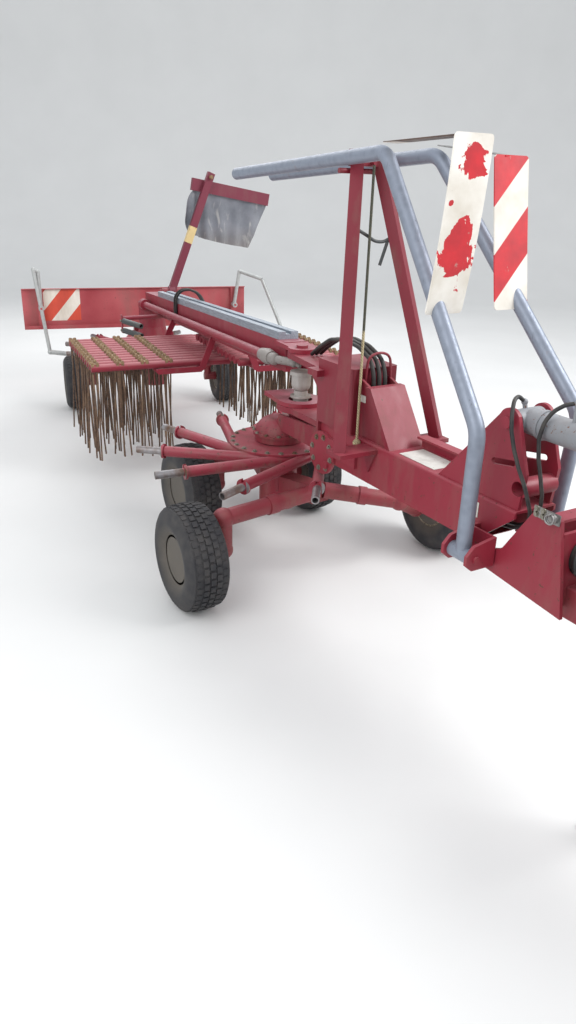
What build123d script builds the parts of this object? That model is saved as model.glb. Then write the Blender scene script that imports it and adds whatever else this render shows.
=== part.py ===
from build123d import *
from math import cos, radians, sin
import os

os.makedirs("parts", exist_ok=True)

# Trailed rotary rake with two rotors, folded and parked, tine arms taken off and stored in racks.
# Millimetres. The frame stands on the ground under the middle of the whole machine.
# +Y is the rear of the machine, +X its right-hand side looking rearwards, +Z up.
# Lengths along the machine are stations, counted rearwards from the front of the headstock.

DATUM_X = -377.0
DATUM_Y = -2986.0

# Fits and clearances
RUN = 0.05
SIDE = 0.5
SEAT = 0.3
EYE_CLEAR = 3.2

# Front beam
BEAM_HALF = 85.0
BEAM_BOTTOM = 578.0
BEAM_TOP = 735.0
BEAM_WALL = 8.0
BEAM_FRONT = 1215.0
BEAM_REAR = 2280.0
BEAM_SLANT = 160.0
PLATE = 12.0

# Lift pin in the ears and hinge pin of the drawbar
LIFT_S = 1300.0
LIFT_Z = 985.0
LIFT_PIN_R = 18.0
EAR_X = 66.0
HINGE_S = 1274.0
HINGE_Z = 566.0
HINGE_PIN_R = 20.0

# Drawbar
TONGUE_HALF = 50.0
TONGUE_BOTTOM = 475.0
TONGUE_TOP = 575.0
TONGUE_FRONT = 250.0
CHEEK_TOP = 782.0
CHEEK_FRONT = 1029.0
ROD_EYE_S = 430.0
ROD_EYE_Z = 985.0
ROD_PIN_R = 15.0

# Headstock
SWIVEL_S = 190.0
SWIVEL_PIN_R = 20.0
LINK_HALF = 412.0
LINK_PIN_R = 14.0
LINK_PIN_LENGTH = 52.0
LINK_PIN_S = 50.0
LINK_PIN_Z = 525.0

# Parking leg
LEG_X = -120.0
LEG_S = 670.0
LEG_HALF = 25.0
GUIDE_WALL = 5.0

# Front guard hoops
HOOP_X = 190.0
HOOP_S = 1300.0
HOOP_Z = 590.0
HOOP_R = 24.0
HOOP_PIN_R = 12.0
HOOP_KNEE_Z = 972.0
HOOP_TOP_X = 107.0
HOOP_TOP_S = 1940.0
HOOP_TOP_Z = 1706.0
HOOP_END_X = 90.0
HOOP_END_S = 3038.0
HOOP_END_Z = 1640.0

# Warning boards
SIGN_HALF = 70.0
SIGN_SHEET = 4.0
SIGN_FOOT_Z = 1258.0

# Mast
MAST_FOOT_X = 224.0
MAST_FOOT_S = 1940.0
MAST_TOP_X = 43.0
MAST_TOP_S = 2189.0
MAST_HEAD_RISE = 8.0
MAST_REST_DROP = 54.0

# Pivot tower and swing axis of the rear beam
TOWER_HALF = 102.0
TOWER_FRONT = 2055.0
TOWER_REAR = 2280.0
TOWER_TOP = 985.0
LUG_TOP = 944.0
LUG_THICK = 25.0
LOWER_LUG_TOP = 720.0
SWING_S = 2590.0
SWING_REST = 6.64
UPPER_PIN_R = 25.0
RING_R = 74.0

# Rotors
ROTOR_X = -27.0
ROTOR_S = 2726.0
ROTOR_Z = 490.0
HUB_R = 200.0
HUB_HALF = 28.0
NECK_R = 60.0
ARM_COUNT = 11
ARM_OFFSET = 203.0
ARM_DROOP = 0.03
ARM_PHASE = -75.7
ARM_REACH = 615.0
SLEEVE_REACH = 492.0
SLEEVE_R = 24.0
COLLAR_R = 33.0
COLLAR_THICK = 12.0
STUB_R = 17.0
STUB_BORE = 12.0
REAR_ROTOR_U = 2655.0

# Wheels
FRONT_WHEEL_R = 221.0
FRONT_WHEEL_WIDTH = 176.0
REAR_WHEEL_R = 200.0
REAR_WHEEL_WIDTH = 160.0
RIM_R = 102.0
STUB_AXLE_R = 20.0

# Undercarriage of the front rotor
AXLE_TUBE_R = 36.0
AXLE_TUBE_Z = 372.0
SPINDLE_R = 34.0

# Rear carriage
STEER_REST = 4.8
REAR_TRACK = 565.0
REAR_AXLE_V = 150.0
BOARD_U = 575.0
POST_U = 722.0
BOARD_MID = -18.0
BOARD_HALF = 872.0
BOARD_BOTTOM = 530.0
BOARD_TOP = 828.0
BOARD_SHEET = 3.0
REAR_HOOP_R = 14.0
REAR_HOOP_V = 757.0
REAR_HOOP_Z = 690.0
REAR_HOOP_PIN_R = 8.0

# Rear beam, its drive shaft and the curtain
REAR_BEAM_V = 22.0
REAR_BEAM_WIDE = 100.0
REAR_BEAM_HIGH = 130.0
REAR_BEAM_Z0 = 905.0
REAR_BEAM_Z1 = 795.0
SHAFT_V = -66.0
SHAFT_U = 150.0
SHAFT_Z = 888.0
SHAFT_END_Z = 785.0
SHAFT_R = 22.0
CURTAIN_AHEAD = 75.0
CURTAIN_V = 132.0
CURTAIN_Z = 880.0
CURTAIN_PIN_R = 18.0

# Stored tine arms
STORED_COUNT = 12
STORED_PITCH = 68.0
STORED_R = 21.0
TINE_R = 4.5
TINE_SPREAD = 12.0
TINE_COLUMNS = 4
TINE_PITCH = 136.0


def at(x, s, z):
    """Point of the machine: sideways from the centre line, station, height."""
    return Vector(DATUM_X + x, DATUM_Y + s, z)


def rear(v, u, z):
    """Point of the rear beam: sideways and rearwards from the swing axis."""
    turn = radians(SWING_REST)
    return at(v * cos(turn) + u * sin(turn), SWING_S - v * sin(turn) + u * cos(turn), z)


def cart(v, u, z):
    """Point of the rear carriage: sideways and rearwards from the rear rotor's axis."""
    turn = radians(STEER_REST)
    return rear(v * cos(turn) + u * sin(turn), REAR_ROTOR_U - v * sin(turn) + u * cos(turn), z)


def aim(a, b, across=None):
    """Place a length from a towards b, with its local X level or along what is given."""
    along = (b - a).normalized()
    if across is not None:
        return Location(Plane(origin=a, x_dir=across, z_dir=along))
    if abs(along.Z) > 0.999:
        return Location(Plane(origin=a, x_dir=(1, 0, 0), z_dir=along))
    return Location(Plane(origin=a, x_dir=(along.Y, -along.X, 0), z_dir=along))


def side_plane(x):
    """Upright plane along the machine: local X is the station, local Y the height."""
    return Plane(origin=(DATUM_X + x, DATUM_Y, 0), x_dir=(0, 1, 0), z_dir=(1, 0, 0))


def level(z):
    """Level plane: local X sideways, local Y the station."""
    return Plane(origin=(DATUM_X, DATUM_Y, z), x_dir=(1, 0, 0), z_dir=(0, 0, 1))


def rear_level(z):
    """Level plane of the rear beam about the swing axis."""
    ahead = rear(1, 0, z) - rear(0, 0, z)
    return Plane(origin=rear(0, 0, z), x_dir=ahead, z_dir=(0, 0, 1))


def cart_across(u):
    """Upright plane across the rear carriage: local X sideways, local Y the height."""
    home = cart(0, 0, 0)
    return Plane(origin=cart(0, u, 0), x_dir=cart(1, 0, 0) - home, z_dir=cart(0, -1, 0) - home)


def rear_across(u):
    """Upright plane across the rear beam: local X sideways, local Y the height."""
    home = rear(0, 0, 0)
    return Plane(origin=rear(0, u, 0), x_dir=rear(1, 0, 0) - home, z_dir=rear(0, -1, 0) - home)


FROM_END = (Align.CENTER, Align.CENTER, Align.MIN)


def rod(a, b, r, mode=Mode.ADD):
    """Round bar from a to b in the open part."""
    with Locations(aim(a, b)):
        Cylinder(r, (b - a).length, align=FROM_END, mode=mode)


def taper(a, b, r0, r1):
    """Tapered round bar from a to b in the open part."""
    with Locations(aim(a, b)):
        Cone(r0, r1, (b - a).length, align=FROM_END)


def bar(a, b, wide, high, mode=Mode.ADD, across=None):
    """Rectangular bar from a to b in the open part."""
    with Locations(aim(a, b, across)):
        Box(wide, high, (b - a).length, align=FROM_END, mode=mode)


def ball(a, r, mode=Mode.ADD):
    """Rounded corner of a bent tube in the open part."""
    with Locations(Location(a)):
        Sphere(r, mode=mode)


def block(x0, x1, s0, s1, z0, z1, mode=Mode.ADD):
    """Block of the machine between two sideways places, two stations and two heights."""
    with Locations(Location(at((x0 + x1) / 2, (s0 + s1) / 2, (z0 + z1) / 2))):
        Box(x1 - x0, s1 - s0, z1 - z0, mode=mode)


def pair(side, near, far):
    """The two sideways places of a piece on one side, the smaller first."""
    return sorted((side * near, side * far))


def bent_tube(path, r, radii):
    """Tube along straight runs with rounded corners, in the open part."""
    with BuildLine() as route:
        FilletPolyline(*path, radius=radii)
    with BuildSketch(Plane(origin=path[0], z_dir=path[1] - path[0])) as section:
        Circle(r)
    sweep(sections=section.sketch, path=route.line)


def corner_radii(path, most):
    """Corner radii of a hose: as large as its two runs allow."""
    radii = []
    for a, b, c in zip(path, path[1:], path[2:]):
        turn = radians((b - a).get_angle(c - b))
        shorter = min((b - a).length, (c - b).length)
        radii.append(min(most, 0.45 * shorter * sin(turn) / (1 - cos(turn))))
    return radii


# Front beam: box beam with an open slanted front end, lift ears, brackets of the guard hoops,
# the round cheeks of the gearbox carrier at its rear end and the rail along its top
CARRIER_S = 2255.0
CARRIER_Z = 606.0
CARRIER_R = 88.0
BRACKET_IN = BEAM_HALF + 2.5 * PLATE
with BuildPart() as front_beam:
    with BuildSketch(side_plane(-BEAM_HALF)):
        with BuildLine():
            Polyline(
                (BEAM_REAR, BEAM_BOTTOM),
                (BEAM_REAR, BEAM_TOP),
                (BEAM_FRONT, BEAM_TOP),
                (BEAM_FRONT, BEAM_TOP - 22),
                (BEAM_FRONT + BEAM_SLANT, BEAM_BOTTOM),
                close=True,
            )
        make_face()
    extrude(amount=2 * BEAM_HALF)
    fillet(front_beam.edges().filter_by(Axis.Y).group_by(Axis.Z)[-1], 10)
    block(
        -BEAM_HALF + BEAM_WALL,
        BEAM_HALF - BEAM_WALL,
        BEAM_FRONT - 10,
        BEAM_REAR - BEAM_WALL,
        BEAM_BOTTOM + BEAM_WALL,
        BEAM_TOP - BEAM_WALL,
        mode=Mode.SUBTRACT,
    )
    for side in (-1, 1):
        with BuildSketch(side_plane(side * EAR_X - PLATE / 2)):
            with BuildLine():
                foot = Line((1575, BEAM_TOP), (LIFT_S + 38, LIFT_Z + 18))
                crown = ThreePointArc(foot @ 1, (LIFT_S, LIFT_Z + 42), (LIFT_S - 34, LIFT_Z + 24))
                Polyline(crown @ 1, (LIFT_S - 92, 850), (LIFT_S - 80, BEAM_TOP), foot @ 0)
            make_face()
            with Locations((LIFT_S + 2, 862)):
                SlotOverall(96, 20, rotation=-10, mode=Mode.SUBTRACT)
        extrude(amount=PLATE)
        inner, outer = pair(side, BRACKET_IN, BRACKET_IN + 8)
        block(inner, outer, HOOP_S - 45, HOOP_S + 57, HOOP_Z - 34, HOOP_Z + 60)
        inner, outer = pair(side, BEAM_HALF, BRACKET_IN + 8)
        block(inner, outer, HOOP_S + 45, HOOP_S + 57, HOOP_Z - 6, HOOP_Z + 60)
        for s in (HOOP_S - 57, HOOP_S + 45):
            with BuildSketch(Plane(origin=at(0, s + PLATE, 0), x_dir=(1, 0, 0), z_dir=(0, -1, 0))):
                with BuildLine():
                    Polyline(
                        (side * BRACKET_IN, HOOP_Z - 34),
                        (side * (HOOP_X + 12), HOOP_Z - 34),
                        (side * (HOOP_X + 36), HOOP_Z - 14),
                        (side * (HOOP_X + 36), HOOP_Z + 16),
                        (side * (HOOP_X + 10), HOOP_Z + 44),
                        (side * BRACKET_IN, HOOP_Z + 60),
                        close=True,
                    )
                make_face()
            extrude(amount=PLATE)
        rod(at(side * HOOP_X, HOOP_S - 64, HOOP_Z), at(side * HOOP_X, HOOP_S + 62, HOOP_Z), HOOP_PIN_R)
        with BuildSketch(side_plane(side * (BEAM_HALF + PLATE / 2) - PLATE / 2)):
            with Locations((CARRIER_S, CARRIER_Z)):
                Circle(CARRIER_R)
            with Locations(((CARRIER_S + 2020) / 2, CARRIER_Z + 40)):
                Rectangle(CARRIER_S - 2020, 70)
        extrude(amount=PLATE)
        reach = pair(side, BEAM_HALF + PLATE, BEAM_HALF + PLATE + 8)[side > 0]
        rod(
            at(side * BEAM_HALF, CARRIER_S - 40, CARRIER_Z - 40),
            at(reach, CARRIER_S - 40, CARRIER_Z - 40),
            16,
        )
    rod(at(-EAR_X - 22, LIFT_S, LIFT_Z), at(EAR_X + 22, LIFT_S, LIFT_Z), LIFT_PIN_R)
    rod(at(-BRACKET_IN - 14, HINGE_S, HINGE_Z), at(BRACKET_IN + 14, HINGE_S, HINGE_Z), HINGE_PIN_R)
    rod(at(-EAR_X, 1232, 800), at(EAR_X, 1232, 800), 30)
    rod(at(-EAR_X - 10, 1232, 800), at(EAR_X + 10, 1232, 800), 23, mode=Mode.SUBTRACT)
    block(BEAM_HALF - 22, BEAM_HALF - 4, 1600, 1830, BEAM_TOP, BEAM_TOP + 42)
    block(BEAM_HALF - 46, BEAM_HALF - 4, 1600, 1830, BEAM_TOP + 34, BEAM_TOP + 42)
front_beam.part.label = "front_beam"
export_step(front_beam.part, "parts/front_beam.step")

# Mast: two legs leaning rearwards to one head, on outrigger plates of the front beam
MAST_TOP_Z = HOOP_TOP_Z + MAST_HEAD_RISE
MAST_REST_Z = HOOP_TOP_Z - MAST_REST_DROP
with BuildPart() as mast:
    for side in (-1, 1):
        inner, outer = pair(side, BEAM_HALF, MAST_FOOT_X + 26)
        block(inner, outer, MAST_FOOT_S - 45, MAST_FOOT_S + 45, BEAM_TOP - 28, BEAM_TOP - 12)
        foot = at(side * MAST_FOOT_X, MAST_FOOT_S, BEAM_TOP - 20)
        head = at(side * MAST_TOP_X, MAST_TOP_S, MAST_TOP_Z)
        bar(foot, head, 46, 40)
        with BuildSketch(side_plane(side * BEAM_HALF - 4 + side * 4)):
            with BuildLine():
                Polyline(
                    (MAST_FOOT_S - 40, BEAM_TOP - 28),
                    (MAST_FOOT_S + 40, BEAM_TOP - 28),
                    (MAST_FOOT_S, BEAM_TOP - 110),
                    close=True,
                )
            make_face()
        extrude(amount=8)
    block(-66, 66, MAST_TOP_S - 24, MAST_TOP_S + 24, MAST_TOP_Z - 46, MAST_TOP_Z + 8)
    rod(at(-118, MAST_TOP_S, MAST_REST_Z), at(118, MAST_TOP_S, MAST_REST_Z), 9)
    rod(at(0, MAST_TOP_S - 22, MAST_TOP_Z - 36), at(0, MAST_TOP_S - 46, MAST_TOP_Z - 36), 6)
mast.part.label = "mast"
export_step(mast.part, "parts/mast.step")

# Taut rope from the mast head to a knot on the left edge of the beam
with BuildPart() as mast_rope:
    rod(at(0, MAST_TOP_S - 40, MAST_TOP_Z - 42.5), at(-BEAM_HALF - 14.6, 2010, BEAM_TOP - 12), 5)
    ball(at(-BEAM_HALF - 14.6, 2010, BEAM_TOP - 16), 15)
mast_rope.part.label = "mast_rope"
export_step(mast_rope.part, "parts/mast_rope.step")

# Pivot tower: box on the rear of the beam, hose box in front of it and the two lugs of the swing axis
with BuildPart() as pivot_tower:
    block(-TOWER_HALF, TOWER_HALF, TOWER_FRONT, TOWER_REAR, BEAM_TOP, TOWER_TOP)
    block(
        -TOWER_HALF + PLATE, TOWER_HALF - PLATE, TOWER_FRONT + PLATE,
        TOWER_REAR + 1, BEAM_TOP - 1, TOWER_TOP - PLATE,
        mode=Mode.SUBTRACT,
    )
    fillet(pivot_tower.edges().filter_by(Axis.Z).group_by(Axis.Y)[0], 10)
    block(-TOWER_HALF, TOWER_HALF, TOWER_REAR, TOWER_REAR + PLATE, 692, TOWER_TOP)
    with BuildSketch(level(LUG_TOP - LUG_THICK)):
        with Locations((0, SWING_S)):
            Circle(62)
        with BuildLine():
            Polyline(
                (-TOWER_HALF, TOWER_REAR - PLATE), (-60, SWING_S),
                (60, SWING_S), (TOWER_HALF, TOWER_REAR - PLATE),
                close=True,
            )
        make_face()
    extrude(amount=LUG_THICK)
    block(-135, 135, TOWER_REAR - 30, TOWER_REAR + 40, LUG_TOP - LUG_THICK, LUG_TOP)
    with BuildSketch(level(LOWER_LUG_TOP - LUG_THICK)):
        with Locations((0, SWING_S)):
            Circle(105)
        with Locations((0, (TOWER_REAR + PLATE / 2 + SWING_S) / 2)):
            Rectangle(170, SWING_S - TOWER_REAR - PLATE / 2)
    extrude(amount=LUG_THICK)
    rod(at(0, SWING_S, LUG_TOP - 40), at(0, SWING_S, LUG_TOP + 10), UPPER_PIN_R + RUN, mode=Mode.SUBTRACT)
    rod(
        at(0, SWING_S, LOWER_LUG_TOP - 40), at(0, SWING_S, LOWER_LUG_TOP + 10), RING_R + RUN,
        mode=Mode.SUBTRACT,
    )
    for side in (-1, 1):
        with BuildSketch(side_plane(side * 62 - 5)):
            with BuildLine():
                Polyline(
                    (TOWER_FRONT, BEAM_TOP), (TOWER_FRONT, 950), (2000, 930), (1852, BEAM_TOP), close=True
                )
            make_face()
        extrude(amount=10)
        with BuildSketch(side_plane(side * 62 - 5)):
            with BuildLine():
                Polyline(
                    (TOWER_REAR, LUG_TOP - LUG_THICK),
                    (TOWER_REAR + 150, LUG_TOP - LUG_THICK),
                    (TOWER_REAR, 790),
                    close=True,
                )
            make_face()
        extrude(amount=10)
    with BuildSketch(side_plane(-78)):
        with BuildLine():
            Polyline((1836, BEAM_TOP), (1976, 930), (2004, 930), (1864, BEAM_TOP), close=True)
        make_face()
    extrude(amount=156)
pivot_tower.part.label = "pivot_tower"
export_step(pivot_tower.part, "parts/pivot_tower.step")

# Front gearbox: carrier, domed housing, input column with its cup and the neck down to the undercarriage
NECK_TOP = ROTOR_Z + HUB_HALF + 5.0
DOME_R = 112.0
DOME_TOP = 628.0
with BuildPart() as front_gearbox:
    for side in (-1, 1):
        with BuildSketch(side_plane(side * 66 - PLATE / 2)):
            with BuildLine():
                Polyline(
                    (BEAM_REAR + SEAT, 590), (BEAM_REAR + SEAT, 690),
                    (ROTOR_S - 70, 662), (ROTOR_S - 40, 590),
                    close=True,
                )
            make_face()
        extrude(amount=PLATE)
    block(-72, 72, BEAM_REAR + SEAT, BEAM_REAR + PLATE, BEAM_BOTTOM + 14, 690)
    block(-66, 66, BEAM_REAR + PLATE, ROTOR_S - 80, 640, 652)
    with BuildSketch(Plane(origin=at(ROTOR_X, ROTOR_S, 0), x_dir=(1, 0, 0), z_dir=(0, -1, 0))):
        with BuildLine():
            crown = Line((0, DOME_TOP), (48, DOME_TOP))
            dome = ThreePointArc(crown @ 1, (92, DOME_TOP - 26), (DOME_R - 2, DOME_TOP - 66))
            Polyline(
                dome @ 1,
                (DOME_R + 8, DOME_TOP - 66),
                (DOME_R + 8, DOME_TOP - 78),
                (DOME_R, DOME_TOP - 78),
                (DOME_R, NECK_TOP),
                (NECK_R, NECK_TOP),
                (NECK_R, 250),
                (0, 250),
                crown @ 0,
            )
        make_face()
    revolve(axis=Axis(at(ROTOR_X, ROTOR_S, 0), (0, 0, 1)))
    rod(at(0, SWING_S, 640), at(0, SWING_S, 748), 34)
    rod(at(0, SWING_S, 652), at(0, SWING_S, 672), 50)
    rod(at(0, SWING_S, 748), at(0, SWING_S, 756), 46)
    rod(at(0, SWING_S, 756), at(0, SWING_S, 778), 30)
    with BuildSketch(Plane(origin=at(0, SWING_S, 0), x_dir=(1, 0, 0), z_dir=(0, -1, 0))):
        with BuildLine():
            base = Line((0, 778), (26, 778))
            bowl = ThreePointArc(base @ 1, (38, 790), (42, 812))
            Polyline(bowl @ 1, (42, 846), (48, 846), (48, 862), (0, 862), base @ 0)
        make_face()
    revolve(axis=Axis(at(0, SWING_S, 0), (0, 0, 1)))
front_gearbox.part.label = "front_gearbox"
export_step(front_gearbox.part, "parts/front_gearbox.step")

# Undercarriage of the front rotor: post, transverse tubes with their sleeves, drops and stub axles
FRONT_WHEELS = (
    # name, sideways, station; the tube's root (sideways, station); its elbow (sideways, station, height)
    ("front_left", -640.0, 2338.0, (-20.0, 2400.0), (-497.0, 2338.0, 360.0)),
    ("front_right", 640.0, 2338.0, (20.0, 2400.0), (330.0, 2256.0, 318.0)),
    ("mid_left", -340.0, 3040.0, (-20.0, 2960.0), (-197.0, 3040.0, 350.0)),
    ("mid_right", 340.0, 3040.0, (20.0, 2960.0), (197.0, 3040.0, 350.0)),
)
SPINDLE_IN = FRONT_WHEEL_WIDTH / 2 + 55.0
HUB_END = 62.0
with BuildPart() as axle_frame:
    rod(at(ROTOR_X, ROTOR_S, 200), at(ROTOR_X, ROTOR_S, 425), 88)
    rod(at(ROTOR_X, ROTOR_S, 190), at(ROTOR_X, ROTOR_S, 430), NECK_R, mode=Mode.SUBTRACT)
    rod(at(ROTOR_X, ROTOR_S, 200), at(ROTOR_X, ROTOR_S, 250), NECK_R + 2)
    for root_s in (2400, 2960):
        ahead = 1 if root_s > ROTOR_S else -1
        bar(at(ROTOR_X, ROTOR_S + ahead * 78, 330), at(0, root_s, 360), 90, 80)
    for name, x, s, root, elbow in FRONT_WHEELS:
        out = 1 if x > 0 else -1
        start = at(*root, AXLE_TUBE_Z)
        corner = at(*elbow)
        drop = at(x - out * SPINDLE_IN, s, FRONT_WHEEL_R)
        rod(start, corner, AXLE_TUBE_R)
        rod(start + (corner - start) * 0.45, start + (corner - start) * 0.55, AXLE_TUBE_R + 5)
        ball(corner, AXLE_TUBE_R + 8)
        rod(corner, drop, SPINDLE_R + 3)
        ball(drop, SPINDLE_R + 6)
        rod(drop, at(x - out * HUB_END, s, FRONT_WHEEL_R), SPINDLE_R)
        rod(drop, at(x + out * 40, s, FRONT_WHEEL_R), STUB_AXLE_R)
axle_frame.part.label = "axle_frame"
export_step(axle_frame.part, "parts/axle_frame.step")


def tyre_profile(half, outer):
    """Outline of a tyre's section on its plane through the axle, bead to bead."""
    with BuildLine() as outline:
        left = ThreePointArc((-half + 22, RIM_R), (-half, (RIM_R + outer) / 2), (-half + 18, outer - 14))
        tread = ThreePointArc(left @ 1, (0, outer), (half - 18, outer - 14))
        right = ThreePointArc(tread @ 1, (half, (RIM_R + outer) / 2), (half - 22, RIM_R))
        Line(right @ 1, left @ 0)
    make_face(outline.edges())


def rim_profile(half):
    """Outline of a rim with its dished disc and hub on its plane through the axle, disc outwards."""
    with BuildLine() as outline:
        Polyline(
            (-half, RIM_R), (half, RIM_R), (half, RIM_R - 9), (24, RIM_R - 14), (34, 42), (58, 42),
            (58, STUB_AXLE_R + RUN), (-58, STUB_AXLE_R + RUN), (-58, 36), (16, 36), (12, RIM_R - 14),
            (-half, RIM_R - 9), close=True,
        )
    make_face(outline.edges())


def wheel(name, centre, across, ahead, half, outer):
    """Tyre and rim of one wheel, written as two pieces."""
    section = Plane(origin=centre, x_dir=across, z_dir=ahead)
    with BuildPart() as tyre:
        with BuildSketch(section):
            tyre_profile(half, outer)
        revolve(axis=Axis(centre, across))
    tyre.part.label = "tyre_" + name
    export_step(tyre.part, "parts/tyre_" + name + ".step")
    with BuildPart() as rim:
        with BuildSketch(section):
            rim_profile(half - 22)
        revolve(axis=Axis(centre, across))
    rim.part.label = "rim_" + name
    export_step(rim.part, "parts/rim_" + name + ".step")


# Wheels of the front rotor
for name, x, s, root, elbow in FRONT_WHEELS:
    out = Vector(1 if x > 0 else -1, 0, 0)
    wheel(name, at(x, s, FRONT_WHEEL_R), out, Vector(0, -out.X, 0), FRONT_WHEEL_WIDTH / 2, FRONT_WHEEL_R)


def front_arm(index, r):
    """Point along a tine arm of the front rotor; the arms lie beside the axis, not through it."""
    turn = radians(ARM_PHASE + index * 360 / ARM_COUNT)
    x = ROTOR_X - r * cos(turn) + ARM_OFFSET * sin(turn)
    s = ROTOR_S - r * sin(turn) - ARM_OFFSET * cos(turn)
    return at(x, s, ROTOR_Z - ARM_DROOP * r)


def rear_arm(index, r):
    """Point along a tine arm of the rear rotor."""
    turn = radians(ARM_PHASE + index * 360 / ARM_COUNT)
    v = -r * cos(turn) + ARM_OFFSET * sin(turn)
    u = REAR_ROTOR_U - r * sin(turn) - ARM_OFFSET * cos(turn)
    return rear(v, u, ROTOR_Z - ARM_DROOP * r)


def rotor(name, centre, bore, arm):
    """Rotor: hub drum with its rim plate, and sleeves with notched collars and hollow stubs."""
    up = Vector(0, 0, 1)
    with BuildPart() as reel:
        rod(centre - up * HUB_HALF, centre + up * (HUB_HALF - 8), HUB_R)
        rod(centre + up * (HUB_HALF - 8), centre + up * HUB_HALF, HUB_R + 32)
        for index in range(ARM_COUNT):
            rod(arm(index, 0), arm(index, SLEEVE_REACH), SLEEVE_R)
            rod(arm(index, SLEEVE_REACH - COLLAR_THICK), arm(index, SLEEVE_REACH), COLLAR_R)
            rod(arm(index, SLEEVE_REACH), arm(index, ARM_REACH), STUB_R)
            rod(arm(index, SLEEVE_REACH + 20), arm(index, ARM_REACH), STUB_BORE, mode=Mode.SUBTRACT)
            notch = arm(index, SLEEVE_REACH - COLLAR_THICK - 1)
            bar(
                notch + up * (COLLAR_R - 8),
                arm(index, SLEEVE_REACH + 1) + up * (COLLAR_R - 8),
                14,
                18,
                mode=Mode.SUBTRACT,
            )
        rod(centre - up * (HUB_HALF + 5), centre + up * (HUB_HALF + 5), bore + RUN, mode=Mode.SUBTRACT)
    reel.part.label = name
    export_step(reel.part, "parts/" + name + ".step")


rotor("front_rotor", at(ROTOR_X, ROTOR_S, ROTOR_Z), NECK_R, front_arm)

# Drawbar: cheek plates on the hinge pin, tongue, tall bracket of the lift rod and the leg's guide
CHEEK_X = BEAM_HALF + PLATE / 2 + 6.0 + SIDE
SHAFT_HOLE_R = 62.3
SHAFT_HOLE_Z = 664.0
with BuildPart() as drawbar:
    block(-TONGUE_HALF, TONGUE_HALF, TONGUE_FRONT, 1100, TONGUE_BOTTOM, TONGUE_TOP)
    fillet(drawbar.edges().filter_by(Axis.Y), 8)
    for side in (-1, 1):
        with BuildSketch(side_plane(side * (CHEEK_X + PLATE / 2) - PLATE / 2)):
            with BuildLine():
                rear_edge = Polyline(
                    (CHEEK_FRONT - 51, HINGE_Z - 62),
                    (HINGE_S + 4, HINGE_Z - 34),
                    (HINGE_S + 32, HINGE_Z - 16),
                    (HINGE_S + 28, HINGE_Z + 22),
                    (1226, 618),
                    (1126, CHEEK_TOP - 4),
                    (CHEEK_FRONT, CHEEK_TOP),
                )
                ThreePointArc(rear_edge @ 1, (CHEEK_FRONT - 26, 640), rear_edge @ 0)
            make_face()
            with Locations((HINGE_S, HINGE_Z)):
                Circle(HINGE_PIN_R + RUN, mode=Mode.SUBTRACT)
        extrude(amount=PLATE)
    block(-CHEEK_X - 1, CHEEK_X + 1, 1020, 1032, TONGUE_BOTTOM + 36, 745)
    rod(at(0, 1000, SHAFT_HOLE_Z), at(0, 1050, SHAFT_HOLE_Z), SHAFT_HOLE_R, mode=Mode.SUBTRACT)
    block(-CHEEK_X, CHEEK_X, 1040, 1090, CHEEK_TOP - 12, CHEEK_TOP - 4)
    for side in (-1, 1):
        inner, outer = pair(side, TONGUE_HALF, CHEEK_X + 1)
        block(inner, outer, 1030, 1080, TONGUE_BOTTOM + 40, TONGUE_TOP)
    for side in (-1, 1):
        with BuildSketch(side_plane(side * 36 - PLATE / 2)):
            with BuildLine():
                shank = Line((ROD_EYE_S + 120, TONGUE_TOP), (ROD_EYE_S + 34, ROD_EYE_Z + 16))
                crown = ThreePointArc(
                    shank @ 1, (ROD_EYE_S, ROD_EYE_Z + 38), (ROD_EYE_S - 34, ROD_EYE_Z + 16)
                )
                Polyline(crown @ 1, (ROD_EYE_S - 80, TONGUE_TOP), shank @ 0)
            make_face()
        extrude(amount=PLATE)
    rod(at(-50, ROD_EYE_S, ROD_EYE_Z), at(50, ROD_EYE_S, ROD_EYE_Z), ROD_PIN_R)
    block(-60, 60, TONGUE_FRONT - 130, TONGUE_FRONT, TONGUE_TOP - 15, TONGUE_TOP)
    block(-60, 60, TONGUE_FRONT - 130, TONGUE_FRONT, TONGUE_BOTTOM, TONGUE_BOTTOM + 15)
    rod(at(0, SWIVEL_S, TONGUE_BOTTOM - 10), at(0, SWIVEL_S, TONGUE_TOP + 10), SWIVEL_PIN_R)
    guide = LEG_HALF + GUIDE_WALL
    block(LEG_X - guide, LEG_X + guide, LEG_S - guide, LEG_S + guide, 300, 760)
    block(
        LEG_X - LEG_HALF, LEG_X + LEG_HALF, LEG_S - LEG_HALF, LEG_S + LEG_HALF, 290, 770,
        mode=Mode.SUBTRACT,
    )
    block(
        LEG_X + guide, -TONGUE_HALF, LEG_S - LEG_HALF, LEG_S + LEG_HALF,
        TONGUE_BOTTOM + 10, TONGUE_TOP - 10,
    )
drawbar.part.label = "drawbar"
export_step(drawbar.part, "parts/drawbar.step")

# Parking leg in its guide tube
with BuildPart() as stand_leg:
    inside = LEG_HALF - SIDE
    block(LEG_X - inside, LEG_X + inside, LEG_S - inside, LEG_S + inside, 10, 700)
    block(LEG_X - 70, LEG_X + 70, LEG_S - 70, LEG_S + 70, 0, 10)
stand_leg.part.label = "stand_leg"
export_step(stand_leg.part, "parts/stand_leg.step")

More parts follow.
